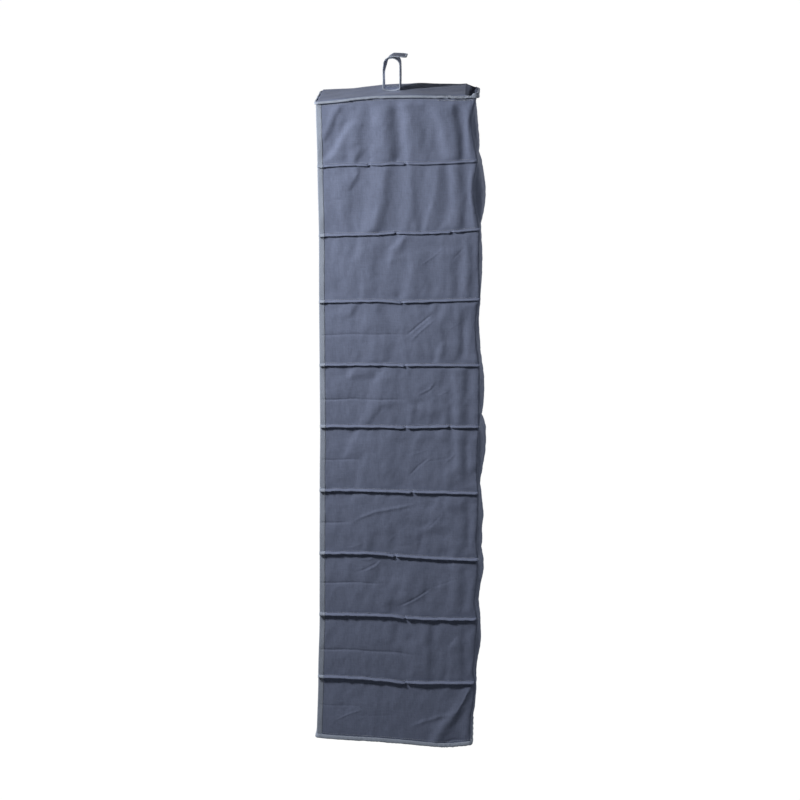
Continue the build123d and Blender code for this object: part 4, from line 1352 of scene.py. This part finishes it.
# ------------------------------------------------------------------ bottom panel
BOARD_LOW, BOARD_HIGH = z_span("bottom_board")
plate("bottom_cloth", z_span("bottom_cover_lower")[1], BOTTOM + 0.1, "fabric", "bottom_panel",
      inset=0.9, step=3.2, seed=91, replaces="bottom_cover_lower")
plate("bottom_stiffener", BOARD_HIGH - 0.15, BOARD_LOW + 0.15, "board", "bottom_panel",
      inset=3.4, step=5.0, replaces="bottom_board")
plate("bottom_lining", BOTTOM_LINING[1], BOTTOM_LINING[0] + 0.02, "lining", "bottom_panel",
      inset=1.1, step=3.2, round_top=1.2, seed=92, replaces="bottom_cover_upper")
BOTTOM_BAND = [(0.15, 0.1), (1.4, -0.1), (2.8, 0.0), (3.8, 0.5), (4.3, 1.5), (4.25, 3.0),
               (3.7, 4.8), (3.1, 6.4), (2.4, 7.6), (1.7, 8.1), (1.0, 7.9), (0.5, 7.0),
               (0.15, 5.0), (0.15, 2.0)]
edge_band("bottom_edge_tape", BOTTOM_BAND, BOTTOM, "bottom_panel", seed=511, rough=bottom_rough,
          replaces="bottom_binding")


# ------------------------------------------------------------------ strap
class Strip:
    """A flat strip along a path in the (y, z) plane, with rounded corners at its far end.

    half: half width, wave: height of its waviness, lean: how far its left side leans back.
    """
    STEP = 0.9
    TAPE_REACH = 3.3                     # width of the edging tape on each face

    def __init__(self, path, half, corner=0.0, wave=0.0, seed=0, lean=0.0):
        self.half, self.corner, self.wave, self.lean = half, corner, wave, lean
        path = np.asarray(path, float)
        passed = np.concatenate([[0], np.cumsum(np.linalg.norm(np.diff(path, axis=0), axis=1))])
        self.length = passed[-1]
        count = int(self.length / self.STEP) + 2
        self.stations = np.linspace(0, self.length, count)
        self.path = np.stack([soften(np.interp(self.stations, passed, path[:, c]), 4, 1.6, **ODD)
                              for c in range(2)], 1)
        tangent = np.gradient(self.path, axis=0)
        tangent /= np.linalg.norm(tangent, axis=1, keepdims=True)
        self.normal = np.stack([-tangent[:, 1], tangent[:, 0]], 1)
        self.waver = noise_line(count, self.STEP, 22, seed) if wave else np.zeros(count)

    def at(self, along, x, offset):
        along, x, offset = np.broadcast_arrays(*(np.asarray(v, float) for v in (along, x, offset)))
        held = np.clip(along, 0, self.length)
        y, z, normal_y, normal_z, waver = (
            np.interp(held, self.stations, values)
            for values in (*self.path.T, *self.normal.T, self.waver))
        offset = offset + self.wave * smoothstep(0, 12, held) * waver * (0.4 + 0.6 * x / self.half)
        over = along - held
        z_at = z + normal_z * offset - normal_y * over
        lean = (self.lean * smoothstep(-20.0, 6.0, z_at) * (1 - smoothstep(-9.0, 7.0, y))
                * (0.5 - 0.5 * x / self.half))
        return np.stack([x, y + normal_y * offset + normal_z * over + lean, z_at], -1)

    def cloth(self, name, thick, material, body, replaces, half=None):
        corner, length = self.corner, self.length
        along = np.linspace(0, length, max(8, int(length / self.STEP)))
        turn = length - corner * (1 - np.sin(np.linspace(0, 1, 9) * math.pi / 2))
        along = np.unique(np.concatenate([along[along < length - corner], turn]))
        into = np.clip(along - (length - corner), 0, corner)
        halves = ((half or self.half) - corner
                  + np.sqrt(np.maximum(corner * corner - into * into, 0)))
        x = np.linspace(-1, 1, 37)[None, :] * np.maximum(halves, 0.5)[:, None]
        shell(name, self.at(along[:, None], x, thick / 2), self.at(along[:, None], x, -thick / 2),
              material, body, replaces=replaces)

    def edge_tape(self, thick, tape, end=True):
        """Tape folded over the long edges and, if end is set, over the far end."""
        corner, half, length = self.corner, self.half, self.length
        # rows: place along, x, and the inward direction in the same two coordinates
        edge = [(s, half, 0, -1) for s in np.arange(0, length - corner, 1.2)]
        if end:
            for a in np.linspace(0, math.pi / 2, 9):
                edge.append((length - corner + corner * math.sin(a),
                             half - corner + corner * math.cos(a), -math.sin(a), -math.cos(a)))
            across = np.linspace(half - corner, -(half - corner), 26)[1:-1]
            edge = np.array(edge)
            runs = [np.concatenate([edge, [(length, x, -1, 0) for x in across],
                                    edge[::-1] * [1, -1, 1, -1]])]
        else:
            edge = np.array(edge + [(length, half, 0, -1)])
            runs = [edge, edge * [1, -1, 1, -1]]
        reach = self.TAPE_REACH
        high = thick / 2 + tape / 2 + 0.05
        face = [(reach, high - .05), (reach * .6, high), (0.6, high), (-0.1, high * .8)]
        path = face + [(-0.38, 0)] + [(inwards, -height) for inwards, height in face[::-1]]
        inwards, offset = leaf_section(path, tape / 2).T
        return merge([tube(self.at(run[:, :1] + run[:, 2:3] * inwards,
                                   run[:, 1:2] + run[:, 3:] * inwards, offset))
                      for run in runs])

    def thread(self, along, x, height, face=1):
        """A run of stitches along the strip."""
        point = self.at(along, x, face * height)
        return (point, self.at(along + 0.5, x, face * height) - point,
                self.at(along, x, face * (height + 1.0)) - point)


def polar(radius, degrees):
    return [(radius * math.cos(math.radians(a)), radius * math.sin(math.radians(a)))
            for a in degrees]


long_low, long_high = box_mm("strap_long_band")
STRAP_HALF = float(box_mm("strap_long_edging")[1][0])
STRIP_HALF = STRAP_HALF - 0.3
STRAP_CLOTH_HALF = STRAP_HALF - 0.4
TAIL_Y = float(long_high[1])
LONG_R = float(long_high[2]) - 0.95      # radii of the two halves' arcs about the x axis
SHORT_R = float(box_mm("strap_short_band")[1][1]) - 0.75
FOOT_Z = float(long_low[2])
LEAN = 5.0


def strap_leg(y, bow):
    """The upright part from the foot to the arc, bowed in y."""
    return [(y + bow * math.sin(math.pi * (z - FOOT_Z) / (0 - FOOT_Z)), z)
            for z in np.linspace(FOOT_Z - 0.8, 0, 60)]


def strap_tail(radius, places):
    return [(y, radius - 1.0 * (y / TAIL_Y) ** 2) for y in places]


def strap_half(body, path, corner, wave, seed, thick, tape, thread_end):
    strip = Strip(path, STRIP_HALF, corner=corner, wave=wave, seed=seed, lean=LEAN)
    strip.cloth(body + "_cloth", thick, "strap", body, body + "_band", half=STRAP_CLOTH_HALF)
    build(body + "_edge_tape", strip.edge_tape(thick, tape), "tape", body,
          replaces=body + "_edging")
    along = np.arange(3.0, strip.length - thread_end, 2.9)
    threads = [strip.thread(along, side * (strip.half - 2.4), thick / 2 + tape + 0.12, face)
               for face in (1, -1) for side in (1, -1)]
    stitches(body + "_thread", threads, "thread_light", body, length=2.1, radius=0.17)


strap_half("strap_long", strap_leg(-LONG_R, -0.5) + polar(LONG_R, np.linspace(180, 90, 40)[1:])
           + strap_tail(LONG_R, np.linspace(0, TAIL_Y + 2.2, 34)[1:]),
           corner=7.0, wave=0.16, seed=601, thick=1.0, tape=0.36, thread_end=8)
strap_half("strap_short", strap_leg(SHORT_R, 0.4) + polar(SHORT_R, np.linspace(0, 130.0, 56)[1:]),
           corner=5.0, wave=0.10, seed=603, thick=0.9, tape=0.30, thread_end=6)

LOOP_R, HOOK_R, PILE_HALF = 14.72, 15.5, 19.0
loop_path = polar(LOOP_R, np.linspace(62, 128, 40))
hook_path = (polar(HOOK_R, np.linspace(138, 90, 30))
             + strap_tail(HOOK_R, np.linspace(0.6, TAIL_Y - 0.9, 26)))
Strip(loop_path, PILE_HALF, corner=2.0, lean=LEAN).cloth(
    "strap_loop_pile", 0.62, "loop", "strap_short", "strap_loop_tape")
Strip(hook_path, PILE_HALF, corner=2.0, lean=LEAN).cloth(
    "strap_hook_pile", 0.5, "hook", "strap_long", "strap_hook_tape")


def strap_patch():
    """The patch between the two halves; its ends are pulled up by the strap."""
    middle_z = float(PATCH_LOW[2] + PATCH_HIGH[2]) / 2
    path = [(y, middle_z - 0.9 + 2.3 * abs((y - PATCH_MID) / PATCH_HALF) ** 1.8)
            for y in np.linspace(float(PATCH_LOW[1]) + 0.3, float(PATCH_HIGH[1]) - 0.3, 40)]
    patch = Strip(path, STRIP_HALF)
    patch.cloth("strap_patch", 1.1, "strap", "top_panel", "strap_base", half=STRAP_CLOTH_HALF)
    build("strap_patch_edge_tape", patch.edge_tape(1.1, 0.42, end=False), "tape", "top_panel")
    height = 0.72
    along = np.arange(4.0, patch.length - 3.0, 2.9)
    threads = [patch.thread(along, side * (STRAP_HALF - 6.0), height) for side in (1, -1)]
    x = np.arange(-(STRAP_HALF - 7.5), STRAP_HALF - 7.0, 2.95)
    for place in (3.6, patch.length - 3.6):
        point, _, up = patch.thread(place, x, height)
        threads.append((point, np.tile([1.0, 0, 0], (len(x), 1)), up))
    stitches("strap_anchor_thread", threads, "thread_light", "top_panel", length=2.3,
             replaces="strap_anchor_stitches")


strap_patch()


# ------------------------------------------------------------------ stage, light, camera
def make_floor():
    """A pale floor, far below, that the camera sees as almost pure light."""
    floor_z = cad_lo[2] - 0.55
    half = 30.0
    mesh = bpy.data.meshes.new("floor")
    corners = [(-half, -half), (half, -half), (half, half), (-half, half)]
    mesh.from_pydata([(x, y, floor_z) for x, y in corners], [], [(0, 1, 2, 3)])
    floor = bpy.data.objects.new("floor", mesh)
    bpy.context.scene.collection.objects.link(floor)
    t = new_tree("floor_pale")
    camera_ray = t.add("ShaderNodeLightPath").outputs["Is Camera Ray"]
    glow_strength, glow_share = 1.07, 0.94
    glow = t.node("ShaderNodeEmission", (1, 1, 1), glow_strength)
    matt = t.node("ShaderNodeBsdfDiffuse", (0.35, 0.355, 0.36))
    mixed = t.node("ShaderNodeMixShader", t.times(camera_ray, glow_share), matt, glow)
    t.put(t.add("ShaderNodeOutputMaterial").inputs[0], mixed)
    mesh.materials.append(t.owner)


def make_world():
    """White to the camera, a faint cool fill to everything else."""
    world = bpy.data.worlds.new("studio")
    bpy.context.scene.world = world
    t = Tree(world)
    camera_ray = t.add("ShaderNodeLightPath").outputs["Is Camera Ray"]
    faint_strength, white_strength = 0.05, 1.0
    faint = t.node("ShaderNodeBackground", (0.93, 0.96, 1.0), faint_strength)
    white = t.node("ShaderNodeBackground", (1, 1, 1), white_strength)
    mixed = t.node("ShaderNodeMixShader", camera_ray, faint, white)
    t.put(t.add("ShaderNodeOutputWorld").inputs[0], mixed)


def area(name, at, aim, size, power, size_y=None, colour=(1, 1, 1)):
    light = bpy.data.lights.new(name, "AREA")
    light.shape = "RECTANGLE"
    light.size = size
    light.size_y = size_y or size
    light.energy = power
    light.color = colour
    lamp = bpy.data.objects.new(name, light)
    bpy.context.scene.collection.objects.link(lamp)
    lamp.location = at
    lamp.rotation_mode = "QUATERNION"
    lamp.rotation_quaternion = (Vector(aim) - Vector(at)).to_track_quat("-Z", "Y")
    return lamp


def make_camera():
    data = bpy.data.cameras.new("camera")
    data.sensor_width = 36.0
    data.lens = 137.3
    data.clip_end = 200.0
    camera = bpy.data.objects.new("camera", data)
    bpy.context.scene.collection.objects.link(camera)
    # azimuth is counted from the front towards the right
    azimuth, elevation, distance = math.radians(93.0), math.radians(14.3), 5.8
    aim = Vector((0.0, 0.013, TOP / 1000.0 - 0.595))
    towards = Vector((math.sin(azimuth) * math.cos(elevation),
                      -math.cos(azimuth) * math.cos(elevation), math.sin(elevation)))
    camera.location = aim + towards * distance
    camera.rotation_mode = "QUATERNION"
    camera.rotation_quaternion = (-towards).to_track_quat("-Z", "Y")
    bpy.context.scene.camera = camera


make_floor()
make_world()
area("key", at=(0.80, -1.02, 0.30), aim=(0.0, 0.0, -0.85), size=0.28, power=31.5,
     colour=(1.0, 0.985, 0.97))
area("key_left", at=(-1.60, -1.30, -0.08), aim=(0.0, 0.0, -0.6), size=0.7, power=20.0)
area("front", at=(-0.15, -3.0, -0.1), aim=(0.0, 0.0, -0.55), size=0.9, power=28.0, size_y=1.2)
area("back", at=(0.15, 1.75, -0.02), aim=(0.0, 0.15, -0.55), size=0.6, power=7.0)
area("back_left", at=(-1.9, 1.5, -0.1), aim=(0.0, 0.1, -0.6), size=0.8, power=20.0)
loop_light = area("loop_light", at=(0.0, 0.0, -0.011), aim=(0.0, 0.0, -0.05), size=0.03,
                  power=0.013, size_y=0.012)
loop_light.visible_camera = False
area("fill", at=(3.2, 0.6, 0.1), aim=(0.0, 0.0, -0.5), size=1.6, power=1.0,
     colour=(0.93, 0.96, 1.0))
make_camera()
bpy.context.scene.view_settings.view_transform = "Standard"
